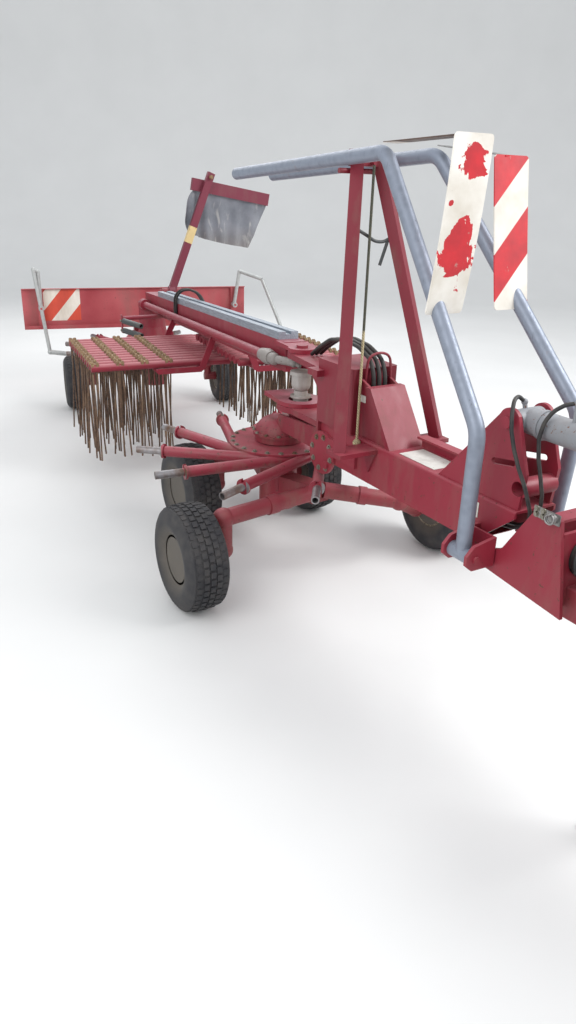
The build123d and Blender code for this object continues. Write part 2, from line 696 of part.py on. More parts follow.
# Headstock: swivel boss, cross tube and the two lower link pins
with BuildPart() as headstock:
    rod(at(0, SWIVEL_S, TONGUE_BOTTOM + 16), at(0, SWIVEL_S, TONGUE_TOP - 16), 45)
    rod(at(0, SWIVEL_S, TONGUE_BOTTOM), at(0, SWIVEL_S, TONGUE_TOP), SWIVEL_PIN_R + RUN, mode=Mode.SUBTRACT)
    block(-50, 50, 60, SWIVEL_S - 38, TONGUE_BOTTOM + 16, TONGUE_TOP - 16)
    block(-LINK_HALF + 30, LINK_HALF - 30, LINK_PIN_S - 30, LINK_PIN_S + 40, LINK_PIN_Z - 35, LINK_PIN_Z + 35)
    for side in (-1, 1):
        inner, outer = pair(side, LINK_HALF - 42, LINK_HALF)
        block(inner, outer, LINK_PIN_S - 50, LINK_PIN_S + 50, LINK_PIN_Z - 45, LINK_PIN_Z + 45)
        rod(
            at(side * (LINK_HALF - 5), LINK_PIN_S, LINK_PIN_Z),
            at(side * (LINK_HALF + LINK_PIN_LENGTH), LINK_PIN_S, LINK_PIN_Z),
            LINK_PIN_R,
        )
headstock.part.label = "headstock"
export_step(headstock.part, "parts/headstock.step")

# Lift cylinder: barrel on the ears, rod to the drawbar's tall bracket
BARREL_R = 40.0
ROD_R = 20.0
BARREL_FRONT = 860.0
PORT_R = 10.0
REAR_PORT = at(-8, 1312, 1036)
FRONT_PORT = at(-8, 1124, 1077)
with BuildPart() as lift_barrel:
    rod(at(-50, LIFT_S, LIFT_Z), at(50, LIFT_S, LIFT_Z), 34)
    rod(at(0, LIFT_S - 20, LIFT_Z), at(0, BARREL_FRONT, LIFT_Z), BARREL_R)
    rod(at(0, LIFT_S - 62, LIFT_Z), at(0, LIFT_S - 74, LIFT_Z), BARREL_R + 4)
    rod(at(0, BARREL_FRONT + 40, LIFT_Z), at(0, BARREL_FRONT, LIFT_Z), BARREL_R + 6)
    rod(at(-8, LIFT_S + 4, LIFT_Z + 24), REAR_PORT, 7)
    ball(REAR_PORT, PORT_R)
    rod(at(-8, 1124, LIFT_Z + 30), FRONT_PORT, 7)
    ball(FRONT_PORT, PORT_R)
    rod(at(-8, 1124, LIFT_Z + 58), at(-8, BARREL_FRONT + 66, LIFT_Z + 58), 6)
    rod(at(-8, BARREL_FRONT + 70, LIFT_Z + 30), at(-8, BARREL_FRONT + 70, LIFT_Z + 66), 11)
    rod(at(-51, LIFT_S, LIFT_Z), at(51, LIFT_S, LIFT_Z), LIFT_PIN_R + RUN, mode=Mode.SUBTRACT)
    rod(at(0, 1236, LIFT_Z), at(0, BARREL_FRONT - 20, LIFT_Z), ROD_R + RUN, mode=Mode.SUBTRACT)
lift_barrel.part.label = "lift_barrel"
export_step(lift_barrel.part, "parts/lift_barrel.step")

with BuildPart() as lift_rod:
    rod(at(0, ROD_EYE_S + 20, ROD_EYE_Z), at(0, 1150, ROD_EYE_Z), ROD_R)
    rod(at(-28, ROD_EYE_S, ROD_EYE_Z), at(28, ROD_EYE_S, ROD_EYE_Z), 32)
    rod(
        at(-30, ROD_EYE_S, ROD_EYE_Z), at(30, ROD_EYE_S, ROD_EYE_Z), ROD_PIN_R + EYE_CLEAR,
        mode=Mode.SUBTRACT,
    )
lift_rod.part.label = "lift_rod"
export_step(lift_rod.part, "parts/lift_rod.step")

# Ribbed guard of the drive shaft between the drawbar's cheeks
with BuildPart() as shaft_guard:
    with BuildSketch(Plane(origin=at(0, 1050, SHAFT_HOLE_Z), x_dir=(0, -1, 0), z_dir=(1, 0, 0))):
        with BuildLine():
            skirt = Polyline((0, 0), (0, 60), (10, 60), (10, 72), (18, 72), (18, 60), (40, 60))
            last = skirt @ 1
            for rib in range(5):
                crest = ThreePointArc(last, last + Vector(9, 7, 0), last + Vector(18, 0, 0))
                last = Line(crest @ 1, (crest @ 1) + Vector(4, -3, 0)) @ 1
            Polyline(last, (170, 29), (170, 0), (0, 0))
        make_face()
    revolve(axis=Axis(at(0, 1050, SHAFT_HOLE_Z), (0, 1, 0)))
    rod(at(0, 890, SHAFT_HOLE_Z), at(0, 320, 700), 27)
    rod(at(0, 325, 700), at(0, 240, 704), 50)
shaft_guard.part.label = "shaft_guard"
export_step(shaft_guard.part, "parts/shaft_guard.step")

# Front guard hoops, one each side, folded up beside the mast head, with their warning boards
HOOPS = (
    # name, side, sideways place of the knee, how far inside the tube the board's middle is,
    # station and height of the board's middle and of its top
    ("left", -1, 190.0, 21.0, (1524.0, 1490.0), (1505.0, 1744.0)),
    ("right", 1, 226.0, 36.0, (1600.0, 1470.0), (1640.0, 1702.0)),
)
for name, side, knee_x, inset, sign_middle, sign_top in HOOPS:
    foot = at(side * HOOP_X, HOOP_S, HOOP_Z)
    knee = at(side * knee_x, HOOP_S, HOOP_KNEE_Z)
    top = at(side * HOOP_TOP_X, HOOP_TOP_S, HOOP_TOP_Z)
    end = at(side * HOOP_END_X, HOOP_END_S, HOOP_END_Z)
    with BuildPart() as hoop:
        bent_tube((foot, knee, top, end), HOOP_R, (95, 80))
        rod(at(side * HOOP_X, HOOP_S - 44, HOOP_Z), at(side * HOOP_X, HOOP_S + 44, HOOP_Z), 25)
        rod(
            at(side * HOOP_X, HOOP_S - 45, HOOP_Z), at(side * HOOP_X, HOOP_S + 45, HOOP_Z), HOOP_PIN_R + RUN,
            mode=Mode.SUBTRACT,
        )
    hoop.part.label = "guard_hoop_" + name
    export_step(hoop.part, "parts/guard_hoop_" + name + ".step")
    share = (HOOP_TOP_Z - SIGN_FOOT_Z - 12) / (HOOP_TOP_Z - HOOP_KNEE_Z)
    sign_s = HOOP_TOP_S + (HOOP_S - HOOP_TOP_S) * share
    sign_x = side * (HOOP_TOP_X + (knee_x - HOOP_TOP_X) * share - inset)
    with BuildPart() as board:
        with BuildSketch(side_plane(sign_x - SIGN_HALF)):
            with BuildLine():
                sheet = Vector(SIGN_SHEET, 0, 0)
                front = ThreePointArc((sign_s, SIGN_FOOT_Z), sign_middle, sign_top)
                back = ThreePointArc((front @ 0) + sheet, Vector(*sign_middle) + sheet, (front @ 1) + sheet)
                Line(front @ 0, back @ 0)
                Line(front @ 1, back @ 1)
            make_face()
        extrude(amount=2 * SIGN_HALF)
        fillet(board.edges().filter_by(lambda e: abs(e.length - SIGN_SHEET) < 0.1), 12)
        rod(knee, top, HOOP_R, mode=Mode.SUBTRACT)
        flap_x = side * HOOP_TOP_X
        bar(
            at(flap_x, HOOP_TOP_S - 20, HOOP_TOP_Z + HOOP_R + 2.3),
            at(sign_x, sign_top[0] + 1, sign_top[1] - 3),
            56,
            4,
        )
    board.part.label = "warning_board_" + name
    export_step(board.part, "parts/warning_board_" + name + ".step")


def beam_z(u):
    """Height of the rear beam's middle at a distance from the swing axis."""
    return REAR_BEAM_Z0 + (REAR_BEAM_Z1 - REAR_BEAM_Z0) * u / REAR_ROTOR_U


# Rear beam: head around the swing axis, box beam, bearing of the drive shaft and the racks
SHAFT_FRONT = rear(SHAFT_V, SHAFT_U, SHAFT_Z)
SHAFT_WAY = (rear(SHAFT_V, REAR_ROTOR_U, SHAFT_END_Z) - SHAFT_FRONT).normalized()
SHAFT_LENGTH = REAR_ROTOR_U - SHAFT_U - 60.0
CURTAIN_U = REAR_ROTOR_U - CURTAIN_AHEAD
BEAM_HEAD_U = 112.0
BEAM_TAIL_U = REAR_ROTOR_U + 60.0
REAR_ALONG = rear(0, 1, 0) - rear(0, 0, 0)
RACKS = (
    # name, first u, outer v, direction of the arm's inner end, height, tine drop, arm length,
    # inner and outer rail from the arm's inner end, sideways place where the hangers meet the beam
    ("left", 1200.0, -700.0, 1.0, 660.0, 540.0, 790.0, 180.0, 430.0, -18.0),
    ("right", 800.0, 600.0, -1.0, 735.0, 440.0, 600.0, 90.0, 376.0, 40.0),
)
RAIL_R = 10.7
RAIL_DROP = STORED_R + RAIL_R + SEAT
with BuildPart() as rear_beam:
    with BuildSketch(rear_level(LUG_TOP + 1)):
        Circle(60)
        with Locations((12, 90)):
            Rectangle(120, 180)
    extrude(amount=18)
    rod(rear(0, 0, LUG_TOP - 28), rear(0, 0, LUG_TOP + 30), UPPER_PIN_R)
    with BuildSketch(rear_level(LOWER_LUG_TOP + 1)):
        Circle(100)
        with Locations((-14, 90)):
            Rectangle(172, 180)
        Circle(52, mode=Mode.SUBTRACT)
    extrude(amount=18)
    rod(rear(0, 0, LOWER_LUG_TOP - 23), rear(0, 0, LOWER_LUG_TOP + 5), RING_R)
    rod(rear(0, 0, LOWER_LUG_TOP - 30), rear(0, 0, LOWER_LUG_TOP + 40), 52, mode=Mode.SUBTRACT)
    web_z = (LUG_TOP + LOWER_LUG_TOP) / 2 + 10
    bar(rear(66, 80, web_z), rear(66, 190, web_z), 12, 236)
    bar(
        rear(REAR_BEAM_V, BEAM_HEAD_U, beam_z(BEAM_HEAD_U)),
        rear(REAR_BEAM_V, BEAM_TAIL_U, beam_z(BEAM_TAIL_U)),
        REAR_BEAM_WIDE,
        REAR_BEAM_HIGH,
    )
    rod(rear(0, REAR_ROTOR_U, 620), rear(0, REAR_ROTOR_U, beam_z(REAR_ROTOR_U)), 95)
    taper(rear(0, REAR_ROTOR_U, ROTOR_Z + HUB_HALF + 5), rear(0, REAR_ROTOR_U, 625), 114, 96)
    rod(rear(0, REAR_ROTOR_U, 250), rear(0, REAR_ROTOR_U, ROTOR_Z + 40), NECK_R - 10)
    rod(SHAFT_FRONT + SHAFT_WAY * (SHAFT_LENGTH - 40), SHAFT_FRONT + SHAFT_WAY * (SHAFT_LENGTH + 35), 38)
    rod(
        SHAFT_FRONT + SHAFT_WAY * (SHAFT_LENGTH - 60),
        SHAFT_FRONT + SHAFT_WAY * (SHAFT_LENGTH + 2),
        SHAFT_R + RUN,
        mode=Mode.SUBTRACT,
    )
    for name, first, outer_v, way, height, drop, length, rail_in, rail_out, seat in RACKS:
        inner = outer_v + way * (length - rail_in)
        outer = outer_v + way * (length - rail_out)
        last = first + (STORED_COUNT - 1) * STORED_PITCH
        for u in (first - 36, last + 36):
            bar(rear(inner, u, height - RAIL_DROP), rear(seat, u, beam_z(u) - 55), 12, 34, across=REAR_ALONG)
            rail_z = height - RAIL_DROP
            bar(rear(inner, u, rail_z), rear(outer, u, rail_z), 12, 30, across=REAR_ALONG)
        for v in (inner, outer):
            rod(rear(v, first - 42, height - RAIL_DROP), rear(v, last + 42, height - RAIL_DROP), RAIL_R)
    rod(rear(60, CURTAIN_U, CURTAIN_Z), rear(CURTAIN_V + 70, CURTAIN_U, CURTAIN_Z), CURTAIN_PIN_R)
    rod(rear(40, CURTAIN_U, beam_z(CURTAIN_U) + 30), rear(76, CURTAIN_U, CURTAIN_Z), 30)
rear_beam.part.label = "rear_beam"
export_step(rear_beam.part, "parts/rear_beam.step")

# Light metal profile on top of the rear beam, with two ridges and a slot between them
PROFILE_U0 = 200.0
PROFILE_U1 = REAR_ROTOR_U - 300.0
with BuildPart() as beam_profile:
    lift = REAR_BEAM_HIGH / 2
    start = rear(REAR_BEAM_V, PROFILE_U0, beam_z(PROFILE_U0) + lift)
    finish = rear(REAR_BEAM_V, PROFILE_U1, beam_z(PROFILE_U1) + lift)
    bar(start, finish, 96, 44)
    for side in (-1, 1):
        shift = rear(side * 30, 0, 26) - rear(0, 0, 0)
        bar(start + shift, finish + shift, 34, 16)
    bar(
        rear(REAR_BEAM_V, 70, beam_z(70)), rear(REAR_BEAM_V, BEAM_TAIL_U, beam_z(BEAM_TAIL_U)),
        110, REAR_BEAM_HIGH,
        mode=Mode.SUBTRACT,
    )
beam_profile.part.label = "beam_profile"
export_step(beam_profile.part, "parts/beam_profile.step")

# Joint piece over the gearbox cup and the bell that carries the drive shaft's front end
BELL_START = 30.0
BELL_MIDDLE = 75.0
BELL_END = 145.0
with BuildPart() as shaft_bell:
    yoke = rear(-18, 40, 890)
    rod(rear(-4, 8, 879), yoke, 9)
    ball(yoke, 20)
    rod(yoke, SHAFT_FRONT, 18)
    ball(SHAFT_FRONT, 27)
    rod(SHAFT_FRONT, SHAFT_FRONT + SHAFT_WAY * (BELL_START + 5), 25)
    taper(SHAFT_FRONT + SHAFT_WAY * BELL_START, SHAFT_FRONT + SHAFT_WAY * BELL_MIDDLE, 29, 36)
    taper(SHAFT_FRONT + SHAFT_WAY * BELL_MIDDLE, SHAFT_FRONT + SHAFT_WAY * BELL_END, 36, 28)
    middle = SHAFT_FRONT + SHAFT_WAY * BELL_MIDDLE
    strut_u = SHAFT_U + BELL_MIDDLE
    bar(rear(SHAFT_V, strut_u, middle.Z), rear(REAR_BEAM_V - REAR_BEAM_WIDE / 2, strut_u, middle.Z), 30, 14)
    rod(
        SHAFT_FRONT + SHAFT_WAY * BELL_START, SHAFT_FRONT + SHAFT_WAY * (BELL_END + 1), SHAFT_R + RUN,
        mode=Mode.SUBTRACT,
    )
shaft_bell.part.label = "shaft_bell"
export_step(shaft_bell.part, "parts/shaft_bell.step")

# Drive shaft along the left side of the rear beam
with BuildPart() as rear_shaft:
    rod(SHAFT_FRONT + SHAFT_WAY * (BELL_START + 1), SHAFT_FRONT + SHAFT_WAY * SHAFT_LENGTH, SHAFT_R)
rear_shaft.part.label = "rear_shaft"
export_step(rear_shaft.part, "parts/rear_shaft.step")

# Stored tine arms, each with its double tines on clips, two racks under the rear beam
for name, first, outer_v, way, height, drop, length, rail_in, rail_out, seat in RACKS:
    with BuildPart() as arms:
        for index in range(STORED_COUNT):
            u = first + index * STORED_PITCH
            rod(rear(outer_v, u, height), rear(outer_v + way * length, u, height), STORED_R)
            for column in range(TINE_COLUMNS):
                v = outer_v + way * (20 + TINE_PITCH * column)
                rod(rear(v - 22, u, height + 14), rear(v + 22, u, height + 14), 15)
                for shift in (-TINE_SPREAD, TINE_SPREAD):
                    lean = 26.0 * sin(index * 2.3 + column * 1.7 + shift)
                    tip = rear(v + 1.5 * shift + lean, u + 0.4 * lean, height - drop + abs(lean))
                    rod(rear(v + shift, u, height - STORED_R + 2), tip, TINE_R)
    arms.part.label = "stored_arms_" + name
    export_step(arms.part, "parts/stored_arms_" + name + ".step")

# Rear rotor
rotor("rear_rotor", rear(0, REAR_ROTOR_U, ROTOR_Z), NECK_R - 10, rear_arm)

# Rear carriage: steering boss under the rotor, wheel arms and the frame of the rear board
CART_ACROSS = cart(1, 0, 0) - cart(0, 0, 0)
REAR_WHEELS = (("rear_left", -1.0), ("rear_right", 1.0))
with BuildPart() as rear_carriage:
    rod(cart(0, 0, 200), cart(0, 0, 420), 85)
    rod(cart(0, 0, 250), cart(0, 0, 430), NECK_R - 10 + RUN, mode=Mode.SUBTRACT)
    for name, out in REAR_WHEELS:
        inboard = out * (REAR_TRACK - REAR_WHEEL_WIDTH / 2 - 45)
        rod(cart(out * 60, 30, 290), cart(inboard, REAR_AXLE_V, 290), 32)
        ball(cart(inboard, REAR_AXLE_V, 290), 34)
        rod(cart(inboard, REAR_AXLE_V, 290), cart(inboard, REAR_AXLE_V, REAR_WHEEL_R), 26)
        spindle = cart(out * (REAR_TRACK - HUB_END), REAR_AXLE_V, REAR_WHEEL_R)
        rod(cart(inboard - out * 25, REAR_AXLE_V, REAR_WHEEL_R), spindle, 30)
        rod(spindle, cart(out * (REAR_TRACK + 30), REAR_AXLE_V, REAR_WHEEL_R), STUB_AXLE_R)
    bar(cart(0, 60, 260), cart(0, POST_U + 30, 260), 80, 60)
    bar(cart(0, POST_U, 250), cart(0, POST_U, 700), 80, 60, across=CART_ACROSS)
    bar(cart(0, BOARD_U + BOARD_SHEET, 670), cart(0, POST_U, 670), 80, 60)
rear_carriage.part.label = "rear_carriage"
export_step(rear_carriage.part, "parts/rear_carriage.step")

# Rear board: one bent sheet with folded edges and the slotted brackets of the rear hoops
with BuildPart() as rear_board:
    with BuildSketch(cart_across(BOARD_U + BOARD_SHEET)):
        with Locations((BOARD_MID, (BOARD_BOTTOM + BOARD_TOP) / 2)):
            Rectangle(2 * BOARD_HALF, BOARD_TOP - BOARD_BOTTOM)
    extrude(amount=BOARD_SHEET)
    left_end = BOARD_MID - BOARD_HALF
    right_end = BOARD_MID + BOARD_HALF
    lip_z = BOARD_BOTTOM + 2
    bar(cart(left_end, BOARD_U - 22, lip_z), cart(right_end, BOARD_U - 22, lip_z), 48, 4)
    fold_z = BOARD_BOTTOM + 14
    bar(cart(left_end, BOARD_U - 44, fold_z), cart(right_end, BOARD_U - 44, fold_z), 4, 28)
    bar(cart(left_end, BOARD_U - 10, BOARD_TOP - 2), cart(right_end, BOARD_U - 10, BOARD_TOP - 2), 24, 4)
    for side in (-1, 1):
        v = side * REAR_HOOP_V
        bar(
            cart(v, BOARD_U - 10, BOARD_BOTTOM + 4),
            cart(v, BOARD_U - 10, BOARD_TOP - 4),
            44,
            21,
            across=CART_ACROSS,
        )
        rod(cart(v, BOARD_U - 20, REAR_HOOP_Z), cart(v, BOARD_U - 88, REAR_HOOP_Z), REAR_HOOP_PIN_R)
rear_board.part.label = "rear_board"
export_step(rear_board.part, "parts/rear_board.step")

# Wheels of the rear carriage
for name, out in REAR_WHEELS:
    centre = cart(out * REAR_TRACK, REAR_AXLE_V, REAR_WHEEL_R)
    ahead = (cart(0, 1, 0) - cart(0, 0, 0)) * -out
    wheel(name, centre, CART_ACROSS * out, ahead, REAR_WHEEL_WIDTH / 2, REAR_WHEEL_R)

# Rear guard hoops on the ends of the rear board: the left one folded in, the right one swung out
REAR_HOOPS = (
    # name, side, length of the free sleeve; corners: sideways place, distance behind the rotor, height
    ("left", -1, 125.0, ((757.0, 529.0, 955.0), (790.0, 515.0, 974.0), (722.0, 490.0, 363.0))),
    ("right", 1, 60.0, ((800.0, 529.0, 950.0), (955.0, 400.0, 900.0), (1118.0, 300.0, 470.0))),
)
for name, side, sleeve, corners in REAR_HOOPS:
    v = side * REAR_HOOP_V
    with BuildPart() as hoop:
        path = [cart(v, BOARD_U - 46, REAR_HOOP_Z)]
        for out_v, u, z in corners:
            path.append(cart(side * out_v, u, z))
        for a, b in zip(path, path[1:]):
            rod(a, b, REAR_HOOP_R)
        for a in path[1:3]:
            ball(a, REAR_HOOP_R)
        free = path[-1] - CART_ACROSS * side * sleeve + Vector(0, 0, -18)
        rod(path[-1], free, REAR_HOOP_R + 4)
        ball(path[-1], REAR_HOOP_R + 6)
        rod(cart(v, BOARD_U - 80, REAR_HOOP_Z), cart(v, BOARD_U - 20.5 - SEAT, REAR_HOOP_Z), 20)
        rod(
            cart(v, BOARD_U - 92, REAR_HOOP_Z), cart(v, BOARD_U - 20, REAR_HOOP_Z), REAR_HOOP_PIN_R + RUN,
            mode=Mode.SUBTRACT,
        )
    hoop.part.label = "rear_hoop_" + name
    export_step(hoop.part, "parts/rear_hoop_" + name + ".step")

# Curtain arm with its header bar, and the curtain
HEADER_V0 = 307.0
HEADER_V1 = 880.0
HEADER_Z0 = 1592.0
HEADER_Z1 = 1497.0
HEADER_HIGH = 80.0
HEADER_LEFT = rear(HEADER_V0, CURTAIN_U + 36, HEADER_Z0)
HEADER_RIGHT = rear(HEADER_V1, CURTAIN_U + 36, HEADER_Z1)
HEADER_SLOPE = (HEADER_Z1 - HEADER_Z0) / (HEADER_V1 - HEADER_V0)
HEADER_EDGE = HEADER_HIGH / 2 * (1 + HEADER_SLOPE**2) ** 0.5


def curtain_top(v):
    """Height of the curtain's upper edge, just under the header bar."""
    return HEADER_Z0 + HEADER_SLOPE * (v - HEADER_V0) - HEADER_EDGE - SEAT


with BuildPart() as curtain_arm:
    foot = rear(CURTAIN_V, CURTAIN_U, CURTAIN_Z)
    bar(foot, rear(440, CURTAIN_U, 1665), 36, 50)
    bar(HEADER_LEFT, HEADER_RIGHT, 36, HEADER_HIGH)
    rod(rear(CURTAIN_V - 22, CURTAIN_U, CURTAIN_Z), rear(CURTAIN_V + 22, CURTAIN_U, CURTAIN_Z), 32)
    rod(
        rear(CURTAIN_V - 40, CURTAIN_U, CURTAIN_Z), rear(CURTAIN_V + 80, CURTAIN_U, CURTAIN_Z),
        CURTAIN_PIN_R + RUN,
        mode=Mode.SUBTRACT,
    )
curtain_arm.part.label = "curtain_arm"
export_step(curtain_arm.part, "parts/curtain_arm.step")

with BuildPart() as curtain:
    with BuildSketch(rear_across(CURTAIN_U + 38)):
        with BuildLine():
            hem = Polyline(
                (316, curtain_top(316)), (868, curtain_top(868)), (823, 1362),
                (715, 1172), (447, 1226), (256, 1271),
            )
            ThreePointArc(hem @ 1, (232, 1330), hem @ 0)
        make_face()
    extrude(amount=4)
curtain.part.label = "curtain"
export_step(curtain.part, "parts/curtain.step")

# Hoses that the machine holds all the way: two from the cylinder's ports into the open end of the
# front beam, three over the pivot tower, two over the rear beam
LIFT_HOSE_R = 6.0
TOWER_HOSE_R = 8.0
REAR_HOSE_R = 7.0
PORT_GAP = PORT_R + SEAT
LIFT_HOSES = (
    # points of each hose: sideways, station, height
    (
        (-8, 1312, 1036), (-37, 1310, 1056), (-68, 1296, 1054), (-92, 1276, 1020), (-98, 1262, 970),
        (-98, 1243, 922), (-97, 1216, 872), (-90, 1191, 826), (-77, 1181, 778), (-62, 1177, 735),
        (-52, 1198, 692), (-45, 1250, 664), (-42, 1305, 655),
    ),
    (
        (-8, 1124, 1077), (-24, 1150, 1068), (-42, 1174, 1046), (-53, 1190, 1010), (-56, 1197, 962),
        (-50, 1192, 903), (-38, 1184, 845), (-30, 1176, 795), (-28, 1175, 745), (-26, 1196, 700),
        (-26, 1245, 672), (-26, 1300, 662),
    ),
)
with BuildPart() as lift_hoses:
    for route in LIFT_HOSES:
        path = [at(*place) for place in route]
        path[0] = path[0] + (path[1] - path[0]).normalized() * PORT_GAP
        bent_tube(path, LIFT_HOSE_R, corner_radii(path, 90))
lift_hoses.part.label = "lift_hoses"
export_step(lift_hoses.part, "parts/lift_hoses.step")

TOWER_HOSES = (
    # sideways place over the lug and in front of the tower
    (-6.0, -24.0),
    (16.0, 2.0),
    (38.0, 28.0),
)
TOWER_ROUTE = (
    # station, height, share of the way from the lug to the tower's front
    (2500.0, LUG_TOP + TOWER_HOSE_R + SEAT, 0.0),
    (2442.0, 992.0, 0.1),
    (2356.0, 1038.0, 0.3),
    (2251.0, 1056.0, 0.5),
    (2150.0, 1046.0, 0.7),
    (2062.0, 1014.0, 0.9),
    (2034.0, 965.0, 1.0),
    (2030.0, 900.0, 1.0),
    (2030.0, 830.0, 1.0),
)
with BuildPart() as tower_hoses:
    for near_x, far_x in TOWER_HOSES:
        path = [at(near_x + (far_x - near_x) * share, s, z) for s, z, share in TOWER_ROUTE]
        bent_tube(path, TOWER_HOSE_R, corner_radii(path, 120))
tower_hoses.part.label = "tower_hoses"
export_step(tower_hoses.part, "parts/tower_hoses.step")

REAR_ROUTE = (
    # sideways place from the beam's left side, rearwards from the first end, height over the first end
    (-7.3, 0.0, 0.0),
    (-8.0, -5.0, 60.0),
    (-8.0, -15.0, 118.0),
    (18.0, -50.0, 158.0),
    (53.0, -105.0, 170.0),
    (95.0, -160.0, 153.0),
    (119.0, -205.0, 97.0),
    (110.0, -228.0, 32.0),
    (107.3, -245.0, -25.0),
)
BEAM_LEFT_V = REAR_BEAM_V - REAR_BEAM_WIDE / 2
with BuildPart() as rear_hoses:
    for start_u in (1905.0, 1860.0):
        path = [rear(BEAM_LEFT_V + v, start_u + u, beam_z(start_u) + z - 8) for v, u, z in REAR_ROUTE]
        bent_tube(path, REAR_HOSE_R, corner_radii(path, 90))
rear_hoses.part.label = "rear_hoses"
export_step(rear_hoses.part, "parts/rear_hoses.step")
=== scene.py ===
import math

import bmesh
import bpy
from bpy.props import FloatProperty, FloatVectorProperty, IntProperty, PointerProperty
from mathutils import Matrix, Vector


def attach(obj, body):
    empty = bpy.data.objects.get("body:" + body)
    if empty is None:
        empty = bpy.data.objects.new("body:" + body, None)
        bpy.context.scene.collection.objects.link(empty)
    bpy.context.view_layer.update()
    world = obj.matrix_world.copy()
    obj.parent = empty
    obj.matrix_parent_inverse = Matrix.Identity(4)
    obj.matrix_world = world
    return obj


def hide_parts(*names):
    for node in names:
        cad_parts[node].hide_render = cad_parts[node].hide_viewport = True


bl_info = {
    "name": "Rotary rake dressing",
    "version": (1, 0, 0),
    "blender": (4, 5, 0),
    "location": "View3D > Sidebar > Rake",
    "description": "Dresses the packed rotary rake with tyres, springs, bolts, boards, curtain and paint",
    "category": "Object",
}

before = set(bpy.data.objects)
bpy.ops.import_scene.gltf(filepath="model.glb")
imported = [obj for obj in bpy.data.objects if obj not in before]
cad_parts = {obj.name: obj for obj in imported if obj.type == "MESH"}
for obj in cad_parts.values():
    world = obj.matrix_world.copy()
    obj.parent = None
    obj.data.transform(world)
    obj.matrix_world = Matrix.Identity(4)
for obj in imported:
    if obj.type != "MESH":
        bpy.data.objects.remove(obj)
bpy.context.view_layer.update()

# Places of the machine as the part's source has them: metres, stations from the front, heights from the ground
DATUM_X = -0.377
DATUM_Y = -2.986
SWING_S = 2.590
SWING_REST = math.radians(6.64)
STEER_REST = math.radians(4.8)
REAR_ROTOR_U = 2.655
ROTOR_X = -0.027
ROTOR_S = 2.726
ROTOR_Z = 0.490
HUB_HALF = 0.028
ARM_PHASE = math.radians(-75.7)
BOARD_U = 0.575
RIM_R = 0.102

# Distance from a rotor's axis at which the red sleeves end and the bare stubs begin
COLLAR_OUT = 0.5395

# Radius round which a stored arm is red and beyond which its tines are rusty
STORED_ARM_R = 0.0208

# Header bar of the curtain: its ends sideways, their heights, its half height; plane of the pole
HEADER_V0, HEADER_V1 = 0.307, 0.880
HEADER_Z0, HEADER_Z1 = 1.592, 1.497
HEADER_HALF = 0.040
CURTAIN_U = REAR_ROTOR_U - 0.075

# Slanting bands of the right warning board: width and shift; raggedness of the torn film on the left one
BAND_WIDTH = 0.137
BAND_SHIFT = 0.0515
TORN_ROUGH = 3.2

# Torn red remains on the left board: sideways from its middle, height, half width, half height
TORN_SPOTS = (
    (0.002, 1.436, 0.056, 0.074),
    (0.012, 1.672, 0.046, 0.036),
    (-0.052, 1.566, 0.010, 0.010),
)

# Striped field of the rear board: its left and right edge, its lower edge, its bands' width, slope and shift
FIELD_V0, FIELD_V1 = -0.738, -0.462
FIELD_Z = 0.586
FIELD_BAND = 0.133
FIELD_SLOPE = -1.15
FIELD_SHIFT = 0.113

UP = Vector((0, 0, 1))
LEFT = Vector((-1, 0, 0))


def at(x, s, z):
    """Point of the machine: sideways from the centre line, station, height."""
    return Vector((DATUM_X + x, DATUM_Y + s, z))


def rear(v, u, z):
    """Point of the rear beam: sideways and rearwards from the swing axis."""
    c, k = math.cos(SWING_REST), math.sin(SWING_REST)
    return at(v * c + u * k, SWING_S - v * k + u * c, z)


def cart(v, u, z):
    """Point of the rear carriage: sideways and rearwards from the rear rotor's axis."""
    c, k = math.cos(STEER_REST), math.sin(STEER_REST)
    return rear(v * c + u * k, REAR_ROTOR_U - v * k + u * c, z)


def tone(red, green, blue):
    """Colour as a paint chart gives it, 0 to 255, turned into the linear values that shaders take."""
    linear = []
    for value in (red, green, blue):
        part = value / 255.0
        linear.append(part / 12.92 if part <= 0.04045 else ((part + 0.055) / 1.055) ** 2.4)
    return (*linear, 1.0)


def shade(colour, level):
    """Colour made darker or lighter by a factor."""
    return tuple(min(1.0, c * level) for c in colour[:3]) + (1.0,)


class RakeSettings(bpy.types.PropertyGroup):
    """Sizes and colours of the rake's dressing."""

    red: FloatVectorProperty(
        name="Red paint", description="Fresh colour of the red frame paint",
        default=tone(140, 38, 54), subtype="COLOR", size=4, min=0.0, max=1.0,
    )
    red_faded: FloatVectorProperty(
        name="Faded red", description="Colour of the paint where sun has bleached it",
        default=tone(172, 88, 98), subtype="COLOR", size=4, min=0.0, max=1.0,
    )
    zinc: FloatVectorProperty(
        name="Hoop grey", description="Colour of the grey guard hoops",
        default=tone(126, 133, 146), subtype="COLOR", size=4, min=0.0, max=1.0,
    )
    rubber: FloatVectorProperty(
        name="Tyre rubber", description="Colour of the tyres",
        default=tone(38, 38, 42), subtype="COLOR", size=4, min=0.0, max=1.0,
    )
    tread_depth: FloatProperty(
        name="Tread depth", description="Depth of the tyre tread",
        default=0.007, min=0.002, max=0.012, unit="LENGTH",
    )
    tread_blocks: IntProperty(
        name="Tread blocks", description="Blocks round one row of the tyre tread", default=42, min=20, max=60
    )
    spring_turns: FloatProperty(
        name="Spring turns", description="Turns of each tine's spring", default=3.0, min=1.0, max=6.0
    )


